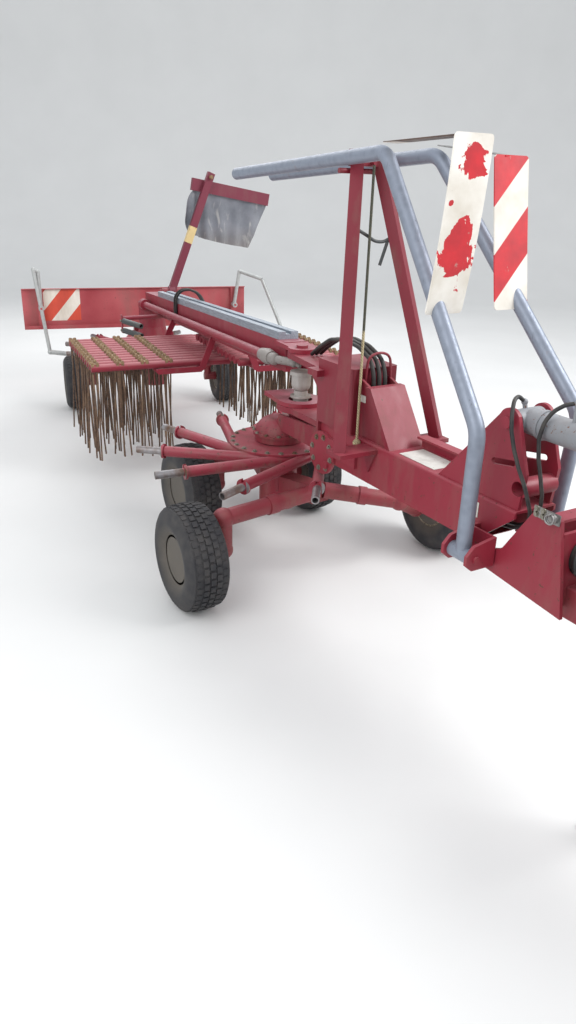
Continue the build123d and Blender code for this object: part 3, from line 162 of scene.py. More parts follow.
class StageSettings(bpy.types.PropertyGroup):
    """Floor, lamps and world of the picture."""

    floor: FloatVectorProperty(
        name="Floor", description="Colour of the floor",
        default=(0.72, 0.72, 0.71, 1.0), subtype="COLOR", size=4, min=0.0, max=1.0,
    )
    key_power: FloatProperty(
        name="Key lamp", description="Power of the large lamp", default=300.0, unit="POWER"
    )
    fill_power: FloatProperty(
        name="Fill lamp", description="Power of the fill lamp and of the back lamp", default=120.0, unit="POWER"
    )
    world_level: FloatProperty(name="World", description="Strength of the world's light", default=0.85)


class Wiring:
    """Node tree that is wired step by step."""

    def __init__(self, tree):
        self.tree = tree

    def node(self, kind, inputs=None, **settings):
        """New node with its settings, and its inputs set or linked."""
        made = self.tree.nodes.new(kind)
        for key, value in settings.items():
            setattr(made, key, value)
        for key, value in (inputs or {}).items():
            if isinstance(value, bpy.types.NodeSocket):
                self.tree.links.new(value, made.inputs[key])
            else:
                made.inputs[key].default_value = value
        return made

    def maths(self, kind, a, b=0.0):
        """Arithmetic of two values."""
        return self.node("ShaderNodeMath", {0: a, 1: b}, operation=kind).outputs[0]

    def apart(self, vector):
        """Three coordinates of a vector."""
        return self.node("ShaderNodeSeparateXYZ", {0: vector}).outputs

    def vector(self, **coordinates):
        """Vector of the given coordinates, nought for the others."""
        return self.node("ShaderNodeCombineXYZ", coordinates).outputs[0]


class Recipe(Wiring):
    """Node tree of one surface, wired into its shader."""

    def __init__(self, name):
        self.material = bpy.data.materials.new(name)
        self.material.use_nodes = True
        super().__init__(self.material.node_tree)
        self.shader = self.tree.nodes["Principled BSDF"]
        self.place = self.tree.nodes.new("ShaderNodeTexCoord").outputs["Object"]

    def moved(self, scale=(1, 1, 1), turn=0.0, shift=(0, 0, 0)):
        """Object coordinates stretched, turned about the upright axis, and shifted."""
        inputs = {"Vector": self.place, "Scale": scale, "Rotation": (0, 0, turn), "Location": shift}
        return self.node("ShaderNodeMapping", inputs).outputs["Vector"]

    def noise(self, scale, detail=4.0, where=None, rough=0.55, warp=0.0):
        """Cloudy value from 0 to 1."""
        inputs = {"Vector": where or self.place, "Scale": scale, "Detail": detail, "Roughness": rough}
        inputs["Distortion"] = warp
        return self.node("ShaderNodeTexNoise", inputs).outputs["Fac"]

    def cells(self, scale):
        """Distance to the nearest of scattered points."""
        return self.node("ShaderNodeTexVoronoi", {"Vector": self.place, "Scale": scale}).outputs["Distance"]

    def steps(self, value, low, high, first=0.0, last=1.0):
        """Value ramped from low to high, held at both ends."""
        inputs = {"Value": value, "From Min": low, "From Max": high, "To Min": first, "To Max": last}
        return self.node("ShaderNodeMapRange", inputs).outputs["Result"]

    def mixed(self, share, a, b):
        """Colour between a and b."""
        return self.node("ShaderNodeMix", {0: share, 6: a, 7: b}, data_type="RGBA").outputs[2]

    def layer(self, below, above, value, low, high, share=1.0):
        """Colour laid over another, where a value ramps from low to high, up to a share."""
        return self.mixed(self.steps(value, low, high, 0.0, share), below, above)

    def parts(self, where=None):
        """Three coordinates of the place, or of another vector."""
        return self.apart(where or self.place)

    def away(self, centre):
        """Place measured from a centre."""
        return self.node("ShaderNodeVectorMath", {0: self.place, 1: centre}, operation="SUBTRACT").outputs[0]

    def distance(self, a, b):
        """Length of the slanting line that runs by a one way and by b the other."""
        squares = self.maths("ADD", self.maths("MULTIPLY", a, a), self.maths("MULTIPLY", b, b))
        return self.maths("SQRT", squares)

    def upward(self, low, high):
        """How far the surface faces up."""
        normal = self.tree.nodes.new("ShaderNodeNewGeometry").outputs["Normal"]
        return self.steps(self.parts(normal)["Z"], low, high)

    def colour(self, socket):
        """Colour of the surface."""
        self.tree.links.new(socket, self.shader.inputs["Base Color"])

    def roughness(self, value, low, high):
        """Roughness between two levels, after a cloudy value."""
        self.tree.links.new(self.steps(value, 0.3, 0.7, low, high), self.shader.inputs["Roughness"])

    def relief(self, height, strength, distance):
        """Fine relief of the surface."""
        bump = self.node("ShaderNodeBump", {"Height": height, "Strength": strength, "Distance": distance})
        self.tree.links.new(bump.outputs["Normal"], self.shader.inputs["Normal"])

    def set(self, **values):
        """Levels that are the same all over."""
        for key, value in values.items():
            self.shader.inputs[key.replace("_", " ").title().replace("Ior", "IOR")].default_value = value


def painted(name, base, faded, chips=0.66, dust=0.35, chip_tone=(92, 52, 42), rough=(0.36, 0.6), bare=None):
    """Old outdoor paint: two tones, bleached where it faces the sky, chips and dust; bare above a height."""
    r = Recipe(name)
    body = r.layer(base, shade(base, 0.72), r.noise(2.1, 3.0), 0.35, 0.68, 0.5)
    sky = r.maths("MULTIPLY", r.upward(0.3, 1.0), r.steps(r.noise(4.5, 5.0), 0.3, 0.7, 0.35, 1.0))
    body = r.mixed(r.maths("MULTIPLY", sky, 0.75), body, faded)
    grime = r.noise(9.0, 7.0, r.moved((1.0, 1.0, 0.25)), 0.62)
    body = r.layer(body, tone(120, 104, 92), grime, 0.52, 0.74, dust)
    low = r.steps(r.parts()["Z"], 0.1, 0.65, 0.4, 0.0)
    body = r.mixed(r.maths("MULTIPLY", low, r.steps(grime, 0.3, 0.7)), body, tone(128, 110, 92))
    spots = r.noise(62.0, 3.0, None, 0.7)
    body = r.layer(body, tone(*chip_tone), spots, chips, chips + 0.03)
    if bare is not None:
        metal = r.layer(tone(168, 164, 160), tone(120, 108, 98), grime, 0.35, 0.65)
        body = r.layer(body, metal, r.parts()["Z"], bare, bare + 0.002)
    r.colour(body)
    r.roughness(grime, *rough)
    r.relief(r.maths("ADD", r.noise(220.0, 2.0), r.maths("MULTIPLY", spots, 0.5)), 0.12, 0.0006)
    r.set(specular_ior_level=0.42)
    return r.material


def galvanised(name, base):
    """Grey tube: zinc bloom, scratches along it and a little rust."""
    r = Recipe(name)
    bloom = r.cells(34.0)
    body = r.layer(base, shade(base, 1.45), bloom, 0.1, 0.6, 0.35)
    scratch = r.noise(90.0, 4.0, r.moved((1, 1, 0.15)), 0.7)
    body = r.layer(body, tone(104, 106, 112), scratch, 0.62, 0.7, 0.6)
    body = r.layer(body, tone(126, 92, 66), r.noise(7.0, 8.0, None, 0.7), 0.62, 0.72, 0.7)
    r.colour(body)
    r.roughness(scratch, 0.34, 0.55)
    r.relief(r.maths("ADD", scratch, bloom), 0.1, 0.0005)
    r.set(metallic=0.35)
    return r.material


def bright_metal(name, base, along, rough, rust):
    """Bare metal drawn or brushed along one way, with stains."""
    r = Recipe(name)
    brush = r.noise(160.0, 3.0, r.moved(along), 0.6)
    body = r.layer(base, shade(base, 0.7), brush, 0.35, 0.65)
    stain = r.noise(6.0, 6.0, None, 0.65)
    body = r.layer(body, tone(112, 78, 54), stain, rust, rust + 0.08, 0.8)
    r.colour(body)
    r.roughness(stain, *rough)
    r.relief(brush, 0.08, 0.0004)
    r.set(metallic=0.75)
    return r.material


def rusty(name, base, dark):
    """Spring steel that has rusted brown."""
    r = Recipe(name)
    grain = r.noise(70.0, 8.0, None, 0.72)
    body = r.layer(base, dark, grain, 0.35, 0.65)
    body = r.layer(body, tone(138, 104, 76), r.noise(11.0, 5.0), 0.5, 0.75, 0.7)
    r.colour(body)
    r.roughness(grain, 0.55, 0.85)
    r.relief(grain, 0.35, 0.0008)
    r.set(metallic=0.3)
    return r.material


def moulded(name, base, rough):
    """Rubber or moulded plastic with a dusty bloom."""
    r = Recipe(name)
    cloud = r.noise(13.0, 6.0, None, 0.6)
    body = r.layer(base, tone(112, 106, 98), cloud, 0.4, 0.75, 0.4)
    body = r.mixed(r.maths("MULTIPLY", r.upward(0.4, 1.0), 0.3), body, tone(118, 112, 104))
    r.colour(body)
    r.roughness(cloud, *rough)
    r.relief(r.noise(260.0, 2.0), 0.12, 0.0005)
    return r.material


def rope_lay(name):
    """Rope: slanting strands and fibres, dark above and pale in its lower part."""
    r = Recipe(name)
    xyz = r.parts()
    slant = r.maths("ADD", xyz["Z"], r.maths("MULTIPLY", xyz["X"], 1.6))
    lay = r.maths("SINE", r.maths("MULTIPLY", slant, 560.0))
    fibre = r.noise(240.0, 3.0, r.moved((1, 1, 0.3)), 0.7)
    body = r.layer(tone(206, 192, 150), tone(74, 82, 70), xyz["Z"], 1.115, 1.125)
    body = r.layer(body, tone(60, 56, 48), lay, 0.1, -0.9, 0.6)
    body = r.layer(body, tone(128, 112, 92), fibre, 0.45, 0.7, 0.5)
    r.colour(body)
    r.roughness(fibre, 0.75, 0.95)
    r.relief(r.maths("ADD", r.maths("MULTIPLY", lay, 0.6), fibre), 0.5, 0.0015)
    return r.material


def tyre_rubber(name, base, centre, across):
    """Tyre rubber: fine rings and dust, paler towards the rim."""
    r = Recipe(name)
    cloud = r.noise(16.0, 7.0, None, 0.65)
    offset = r.away(centre)
    side = r.node("ShaderNodeVectorMath", {0: offset, 1: across}, operation="DOT_PRODUCT").outputs["Value"]
    reach = r.node("ShaderNodeVectorMath", {0: offset}, operation="LENGTH").outputs["Value"]
    squares = r.maths("SUBTRACT", r.maths("MULTIPLY", reach, reach), r.maths("MULTIPLY", side, side))
    flat = r.maths("SQRT", squares)
    body = r.layer(base, tone(96, 92, 88), cloud, 0.4, 0.72, 0.45)
    body = r.layer(body, tone(120, 112, 100), flat, RIM_R + 0.05, RIM_R, 0.45)
    r.colour(body)
    rings = r.maths("SINE", r.maths("MULTIPLY", flat, 900.0))
    r.roughness(cloud, 0.62, 0.85)
    r.relief(r.maths("ADD", r.maths("MULTIPLY", rings, 0.25), r.noise(180.0, 3.0)), 0.25, 0.0008)
    return r.material


def rotor_surface(name, centre, red, faded):
    """Rotor: red hub and sleeves, bare steel stubs outside the collars."""
    r = Recipe(name)
    xyz = r.parts(r.away(centre))
    outside = r.steps(r.distance(xyz["X"], xyz["Y"]), COLLAR_OUT, COLLAR_OUT + 0.001)
    paint = r.layer(red, shade(red, 0.7), r.noise(3.0, 4.0), 0.35, 0.7, 0.6)
    sky = r.maths("MULTIPLY", r.upward(0.3, 1.0), r.steps(r.noise(5.0, 5.0), 0.3, 0.7, 0.3, 0.9))
    paint = r.mixed(sky, paint, faded)
    paint = r.layer(paint, tone(86, 50, 42), r.noise(55.0, 4.0, None, 0.7), 0.62, 0.66, 0.9)
    grime = r.noise(12.0, 7.0, None, 0.65)
    paint = r.layer(paint, tone(122, 104, 92), grime, 0.5, 0.72, 0.5)
    steel = r.layer(tone(150, 148, 150), tone(104, 78, 60), grime, 0.4, 0.66)
    r.colour(r.mixed(outside, paint, steel))
    r.tree.links.new(r.maths("MULTIPLY", outside, 0.7), r.shader.inputs["Metallic"])
    r.roughness(grime, 0.36, 0.62)
    r.relief(r.noise(200.0, 2.0), 0.12, 0.0006)
    return r.material


def stored_arm_surface(name, height, red, faded):
    """Stored arms: bleached red tubes, rusty springs and tines."""
    r = Recipe(name)
    z = r.maths("SUBTRACT", r.parts()["Z"], height)
    fine = r.noise(70.0, 6.0, None, 0.7)
    grime = r.noise(9.0, 6.0, None, 0.65)
    paint = r.layer(red, shade(red, 0.8), r.noise(3.2, 4.0), 0.35, 0.65)
    sky = r.maths("MULTIPLY", r.upward(0.2, 1.0), r.steps(grime, 0.3, 0.7, 0.5, 0.9))
    paint = r.mixed(sky, paint, faded)
    paint = r.layer(paint, tone(110, 72, 60), fine, 0.6, 0.65, 0.8)
    rust = r.layer(tone(112, 84, 64), tone(62, 48, 40), fine, 0.35, 0.65)
    rust = r.layer(rust, tone(150, 122, 96), grime, 0.5, 0.7, 0.6)
    pale = r.layer(tone(172, 150, 116), tone(112, 84, 60), fine, 0.35, 0.65)
    rust = r.layer(rust, pale, z, 0.0, 0.001)
    r.colour(r.layer(paint, rust, r.maths("ABSOLUTE", z), STORED_ARM_R, STORED_ARM_R + 0.0004))
    r.roughness(grime, 0.45, 0.75)
    r.relief(fine, 0.3, 0.0007)
    r.set(metallic=0.1)
    return r.material


def striped(r, across, up, width, slope, first, second):
    """Slanting stripes of two colours, from a sideways and an upward coordinate."""
    run = r.maths("ADD", across, r.maths("MULTIPLY", up, slope))
    cycle = r.maths("FRACT", r.maths("DIVIDE", run, width * 2.0))
    return r.layer(first, second, r.maths("ABSOLUTE", r.maths("SUBTRACT", cycle, 0.5)), 0.245, 0.255)


def warning_film(name, middle, strap_s, strap_z, strap_tone, torn):
    """Warning board: slanting red and white bands, or a white film with torn red remains, under a strap."""
    r = Recipe(name)
    xyz = r.parts()
    across = r.maths("SUBTRACT", xyz["X"], DATUM_X + middle)
    white = r.layer(tone(236, 232, 224), tone(208, 200, 186), r.noise(8.0, 5.0), 0.35, 0.7)
    red = r.layer(tone(204, 34, 44), tone(172, 32, 42), r.noise(14.0, 5.0), 0.35, 0.7)
    if torn:
        edge = r.maths("SUBTRACT", r.noise(13.0, 7.0, None, 0.6, 0.5), 0.5)
        film = white
        for x, z, wide, high in TORN_SPOTS:
            dx = r.maths("DIVIDE", r.maths("SUBTRACT", across, x), wide)
            dz = r.maths("DIVIDE", r.maths("SUBTRACT", xyz["Z"], z), high)
            reach = r.maths("ADD", r.distance(dx, dz), r.maths("MULTIPLY", edge, TORN_ROUGH))
            film = r.mixed(r.steps(reach, 1.0, 1.03, 1.0, 0.0), film, red)
    else:
        film = striped(r, r.maths("ADD", across, BAND_SHIFT), xyz["Z"], BAND_WIDTH, -1.0, white, red)
    wear = r.noise(34.0, 6.0, r.moved((1, 1, 0.6)), 0.7)
    film = r.layer(film, tone(168, 158, 146), wear, 0.64, 0.7, 0.6)
    strap_dark = tone(*(c * 0.6 for c in strap_tone))
    strap = r.layer(tone(*strap_tone), strap_dark, r.noise(24.0, 5.0), 0.4, 0.65)
    high = r.steps(xyz["Z"], strap_z, strap_z + 0.0005)
    behind = r.steps(xyz["Y"], DATUM_Y + strap_s + 0.0062, DATUM_Y + strap_s + 0.0066)
    r.colour(r.mixed(r.maths("MULTIPLY", high, behind), film, strap))
    r.roughness(wear, 0.4, 0.62)
    r.relief(r.maths("ADD", wear, r.noise(5.0, 2.0)), 0.2, 0.002)
    return r.material


def rear_board_surface(name, red, faded):
    """Rear board: bleached red sheet with a slanting striped field near its left end."""
    r = Recipe(name)
    turn = SWING_REST + STEER_REST
    home = cart(0, 0, 0)
    c, k = math.cos(turn), math.sin(turn)
    shift = (-(home.x * c - home.y * k), -(home.x * k + home.y * c), 0.0)
    xyz = r.parts(r.moved((1, 1, 1), turn, shift))
    grime = r.noise(7.0, 7.0, r.moved((1, 1, 0.3)), 0.65)
    paint = r.layer(red, faded, r.noise(2.6, 3.0), 0.35, 0.7)
    paint = r.layer(paint, tone(128, 106, 96), grime, 0.5, 0.75, 0.5)
    paint = r.layer(paint, tone(96, 62, 54), r.noise(60.0, 4.0, None, 0.7), 0.65, 0.69, 0.8)
    white = r.layer(tone(240, 234, 222), tone(206, 196, 180), grime, 0.4, 0.7)
    orange = r.layer(tone(218, 82, 58), tone(190, 70, 54), grime, 0.4, 0.7)
    height = r.maths("SUBTRACT", xyz["Z"], FIELD_SHIFT)
    bands = striped(r, height, xyz["X"], FIELD_BAND, FIELD_SLOPE, white, orange)
    inside = r.steps(xyz["X"], FIELD_V0, FIELD_V0 + 0.001)
    for limit in (
        r.steps(xyz["X"], FIELD_V1 - 0.001, FIELD_V1, 1.0, 0.0),
        r.steps(xyz["Z"], FIELD_Z, FIELD_Z + 0.002),
        r.steps(xyz["Y"], BOARD_U + 0.0005, BOARD_U + 0.0006, 1.0, 0.0),
        r.steps(xyz["Y"], BOARD_U - 0.003, BOARD_U - 0.002),
    ):
        inside = r.maths("MULTIPLY", inside, limit)
    r.colour(r.mixed(inside, paint, bands))
    r.roughness(grime, 0.4, 0.65)
    r.relief(r.noise(150.0, 2.0), 0.1, 0.0006)
    return r.material


def woven(name):
    """Grey translucent curtain cloth: fine weave, creases and mud near the hem."""
    r = Recipe(name)
    xyz = r.parts(r.moved((1, 1, 1), SWING_REST))
    warp, weft = (r.maths("SINE", r.maths("MULTIPLY", xyz[way], 2100.0)) for way in ("X", "Z"))
    cloud = r.noise(5.0, 6.0, None, 0.62)
    body = r.layer(tone(122, 124, 132), tone(84, 88, 98), cloud, 0.3, 0.7)
    body = r.layer(body, tone(120, 108, 98), r.parts()["Z"], 1.32, 1.18, 0.5)
    creases = r.noise(20.0, 3.0, r.moved((1, 1, 0.35)), 0.5, 0.6)
    body = r.layer(body, tone(186, 182, 178), creases, 0.58, 0.7, 0.55)
    r.colour(body)
    r.roughness(cloud, 0.5, 0.75)
    weave = r.maths("MULTIPLY", r.maths("ADD", warp, weft), 0.2)
    r.relief(r.maths("ADD", weave, creases), 0.35, 0.0012)
    r.set(transmission_weight=0.25, sheen_weight=0.2)
    return r.material


FINISHES = {}


def finish(name):
    """Material of a finish, made once by the painting operator."""
    return FINISHES[name]


def placed(name, mesh):
    """New object of a mesh, in the scene."""
    obj = bpy.data.objects.new(name, mesh)
    bpy.context.scene.collection.objects.link(obj)
    return obj


def new_mesh(name, verts, faces, material, smooth=False):
    """Object of a mesh, normals outward."""
    mesh = bpy.data.meshes.new(name)
    mesh.from_pydata([tuple(v) for v in verts], [], faces)
    work = bmesh.new()
    work.from_mesh(mesh)
    bmesh.ops.recalc_face_normals(work, faces=work.faces)
    work.to_mesh(mesh)
    work.free()
    for face in mesh.polygons:
        face.use_smooth = smooth
    mesh.materials.append(material)
    return placed(name, mesh)


def axis_frame(axis):
    """An axis of length 1, and two directions square to it."""
    axis = Vector(axis).normalized()
    helper = UP if abs(axis.z) < 0.9 else Vector((1, 0, 0))
    first = axis.cross(helper).normalized()
    return axis, first, axis.cross(first)


def circle(centre, first, second, radius, count, start=0.0):
    """Points round a circle in the plane of two directions."""
    points = []
    for k in range(count):
        angle = start + 2 * math.pi * k / count
        points.append(centre + (first * math.cos(angle) + second * math.sin(angle)) * radius)
    return points


def lathe(name, start, axis, profile, sides, material, smooth=True):
    """Turned piece: a profile of (along, radius) spun about an axis from start."""
    axis, first, second = axis_frame(axis)
    verts, faces = [], []
    for along, radius in profile:
        verts += circle(start + axis * along, first, second, radius, sides)
    for low in range(0, (len(profile) - 1) * sides, sides):
        for k in range(sides):
            nxt = (k + 1) % sides
            faces.append((low + k, low + nxt, low + sides + nxt, low + sides + k))
    faces.append(tuple(range(sides)))
    faces.append(tuple((len(profile) - 1) * sides + k for k in range(sides)))
    obj = new_mesh(name, verts, faces, material, smooth)
    if smooth:
        obj.data.set_sharp_from_angle(angle=math.radians(35))
    return obj


def plate(name, corners, depth, material, edge=0.0015):
    """Flat plate through its corners, thickened along depth, with rounded edges."""
    count = len(corners)
    verts = corners + [corner + depth for corner in corners]
    faces = [tuple(range(count)), tuple(range(count, 2 * count))]
    for k in range(count):
        nxt = (k + 1) % count
        faces.append((k, nxt, count + nxt, count + k))
    obj = new_mesh(name, verts, faces, material)
    work = bmesh.new()
    work.from_mesh(obj.data)
    bmesh.ops.bevel(work, geom=work.edges[:], offset=edge, segments=2, affect="EDGES")
    work.to_mesh(obj.data)
    work.free()
    return obj


def tube(name, points, radius, material, sides=8, order=3):
    """Round bar or wire along a few control points, smooth at order 3 and straight at order 2."""
    curve = bpy.data.curves.new(name + "_line", "CURVE")
    curve.dimensions = "3D"
    curve.bevel_depth = radius
    curve.bevel_resolution = max(1, sides // 4)
    curve.resolution_u = 8
    curve.use_fill_caps = True
    spline = curve.splines.new("NURBS" if order > 2 else "POLY")
    spline.points.add(len(points) - 1)
    for point, place in zip(spline.points, points):
        point.co = (*place, 1.0)
    if order > 2:
        spline.order_u = 3
        spline.use_endpoint_u = True
    holder = placed(name + "_line", curve)
    bpy.context.view_layer.update()
    mesh = bpy.data.meshes.new_from_object(holder.evaluated_get(bpy.context.evaluated_depsgraph_get()))
    bpy.data.objects.remove(holder)
    mesh.materials.clear()
    mesh.materials.append(material)
    for face in mesh.polygons:
        face.use_smooth = True
    return placed(name, mesh)


def joined(name, objects):
    """Several meshes as one object."""
    work = bmesh.new()
    materials = []
    for obj in objects:
        before = len(work.faces)
        work.from_mesh(obj.data)
        work.faces.ensure_lookup_table()
        for face in work.faces[before:]:
            material = obj.data.materials[min(face.material_index, len(obj.data.materials) - 1)]
            if material not in materials:
                materials.append(material)
            face.material_index = materials.index(material)
    mesh = bpy.data.meshes.new(name)
    work.to_mesh(mesh)
    work.free()
    for material in materials:
        mesh.materials.append(material)
    for obj in objects:
        bpy.data.objects.remove(obj)
    return placed(name, mesh)


class Growth(Wiring):
    """Geometry Nodes tree with named inputs, ending in realized instances and a set material."""

    def __init__(self, name, sizes):
        super().__init__(bpy.data.node_groups.new(name, "GeometryNodeTree"))
        face = self.tree.interface
        face.new_socket("Geometry", in_out="INPUT", socket_type="NodeSocketGeometry")
        for label, value in sizes.items():
            kind = "NodeSocketInt" if isinstance(value, int) else "NodeSocketFloat"
            face.new_socket(label, in_out="INPUT", socket_type=kind).default_value = value
        face.new_socket("Material", in_out="INPUT", socket_type="NodeSocketMaterial")
        face.new_socket("Geometry", in_out="OUTPUT", socket_type="NodeSocketGeometry")
        self.given = self.tree.nodes.new("NodeGroupInput").outputs
        self.end = self.tree.nodes.new("NodeGroupOutput")

    def turned(self):
        """Rotation that points a copy's upright axis along the stored axis of its point."""
        axis = self.node("GeometryNodeInputNamedAttribute", {"Name": "axis"}, data_type="FLOAT_VECTOR")
        return self.node("FunctionNodeAlignEulerToVector", {"Vector": axis.outputs[0]}, axis="Z").outputs[0]

    def copies(self, points, instance, rotation, **more):
        """A copy of a form at each point."""
        inputs = {"Points": points, "Instance": instance, "Rotation": rotation, **more}
        return self.node("GeometryNodeInstanceOnPoints", inputs).outputs[0]

    def close(self, geometry):
        """Realized instances with the given material as the tree's result."""
        real = self.node("GeometryNodeRealizeInstances", {"Geometry": geometry})
        inputs = {"Geometry": real.outputs[0], "Material": self.given["Material"]}
        coat = self.node("GeometryNodeSetMaterial", inputs)
        self.tree.links.new(coat.outputs[0], self.end.inputs[0])
        return self.tree


def bolt_tree():
    """Hexagon heads on washers, one at each point."""
    g = Growth("bolt_heads", {"Radius": 0.01, "Height": 0.007})
    head = g.node(
        "GeometryNodeMeshCylinder", {"Vertices": 6, "Radius": g.given["Radius"], "Depth": g.given["Height"]}
    )
    lift = g.vector(Z=g.maths("MULTIPLY", g.given["Height"], 0.5))
    head = g.node("GeometryNodeTransform", {"Geometry": head.outputs["Mesh"], "Translation": lift})
    wide = g.maths("MULTIPLY", g.given["Radius"], 1.45)
    washer = g.node("GeometryNodeMeshCylinder", {"Vertices": 16, "Radius": wide, "Depth": 0.003})
    both = g.node("GeometryNodeJoinGeometry")
    g.tree.links.new(head.outputs[0], both.inputs[0])
    g.tree.links.new(washer.outputs["Mesh"], both.inputs[0])
    return g.close(g.copies(g.given["Geometry"], both.outputs[0], g.turned()))


def spring_tree():
    """Coiled springs, one at each point, wound about the point's axis."""
    g = Growth("tine_springs", {"Radius": 0.013, "Wire": 0.0042, "Turns": 3.0, "Length": 0.02})
    coil = g.node(
        "GeometryNodeCurveSpiral",
        {
            "Resolution": 11, "Rotations": g.given["Turns"], "Start Radius": g.given["Radius"],
            "End Radius": g.given["Radius"], "Height": g.given["Length"],
        },
    )
    ring = g.node("GeometryNodeCurvePrimitiveCircle", {"Resolution": 5, "Radius": g.given["Wire"]})
    wire = g.node(
        "GeometryNodeCurveToMesh",
        {"Curve": coil.outputs[0], "Profile Curve": ring.outputs[0], "Fill Caps": True},
    )
    return g.close(g.copies(g.given["Geometry"], wire.outputs[0], g.turned()))


def tread_tree():
    """Tread blocks: rows of blocks round a crown, each row turned by half a block."""
    sizes = {"Radius": 0.21, "Blocks": 40, "Rows": 5, "Spacing": 0.025, "Depth": 0.007, "Fall": 13.0}
    g = Growth("tyre_tread", sizes)
    blocks, spacing = g.given["Blocks"], g.given["Spacing"]
    ring = g.node("GeometryNodeMeshCircle", {"Vertices": blocks, "Radius": g.given["Radius"]})
    outward = g.node("GeometryNodeInputPosition").outputs[0]
    facing = g.node("FunctionNodeAlignEulerToVector", {"Vector": outward}, axis="X").outputs[0]
    along = g.maths("MULTIPLY", g.maths("DIVIDE", g.given["Radius"], blocks), 4.6)
    size = g.vector(X=g.given["Depth"], Y=along, Z=g.maths("MULTIPLY", spacing, 0.78))
    block = g.node("GeometryNodeMeshCube", {"Size": size})
    row = g.copies(ring.outputs[0], block.outputs["Mesh"], facing)
    reach = g.maths("MULTIPLY", g.maths("SUBTRACT", g.given["Rows"], 1.0), spacing)
    low = g.vector(Z=g.maths("MULTIPLY", reach, -0.5))
    inputs = {"Count": g.given["Rows"], "Start Location": low, "Offset": g.vector(Z=spacing)}
    line = g.node("GeometryNodeMeshLine", inputs)
    half_block = g.maths("DIVIDE", math.pi, blocks)
    turn = g.vector(Z=g.maths("MULTIPLY", g.node("GeometryNodeInputIndex").outputs[0], half_block))
    height = g.apart(g.node("GeometryNodeInputPosition").outputs[0])["Z"]
    fall = g.maths("MULTIPLY", g.maths("MULTIPLY", height, height), g.given["Fall"])
    shrink = g.maths("SUBTRACT", 1.0, fall)
    scale = g.vector(X=shrink, Y=shrink, Z=1.0)
    return g.close(g.copies(line.outputs[0], row, turn, Scale=scale))


MAKERS = {"bolts": bolt_tree, "springs": spring_tree, "tread": tread_tree}
TREES = {}


def grow(name, tree, values, places=(), axes=()):
    """Plain mesh that a Geometry Nodes tree makes from points with their axes."""
    if tree not in TREES:
        TREES[tree] = MAKERS[tree]()
    mesh = bpy.data.meshes.new(name + "_points")
    mesh.from_pydata([tuple(p) for p in places], [], [])
    if places:
        store = mesh.attributes.new("axis", "FLOAT_VECTOR", "POINT")
        store.data.foreach_set("vector", [c for axis in axes for c in axis.normalized()])
    holder = placed(name + "_points", mesh)
    modifier = holder.modifiers.new("grow", "NODES")
    modifier.node_group = TREES[tree]
    for item in TREES[tree].interface.items_tree:
        if item.item_type == "SOCKET" and item.in_out == "INPUT" and item.name in values:
            modifier[item.identifier] = values[item.name]
    bpy.context.view_layer.update()
    evaluated = holder.evaluated_get(bpy.context.evaluated_depsgraph_get())
    result = bpy.data.meshes.new_from_object(evaluated)
    holder.modifiers.clear()
    bpy.data.objects.remove(holder)
    if len(result.polygons) == 0:
        raise RuntimeError(f"{name} came out empty")
    return placed(name, result)


class Rack:
    """One rack of stored arms: first arm, outer end, way inwards, height."""

    def __init__(self, side, first, outer, way, height):
        self.side, self.first, self.outer, self.way, self.height = side, first, outer, way, height


RACKS = (Rack("left", 1.200, -0.700, 1.0, 0.660), Rack("right", 0.800, 0.600, -1.0, 0.735))

# Warning boards: sideways middle, station and underside of the strap, its colour, torn film or not
WARNING_BOARDS = {
    "left": (-0.1353, 1.505, 1.7315, (92, 72, 62), True),
    "right": (0.1417, 1.640, 1.6915, (150, 150, 148), False),
}


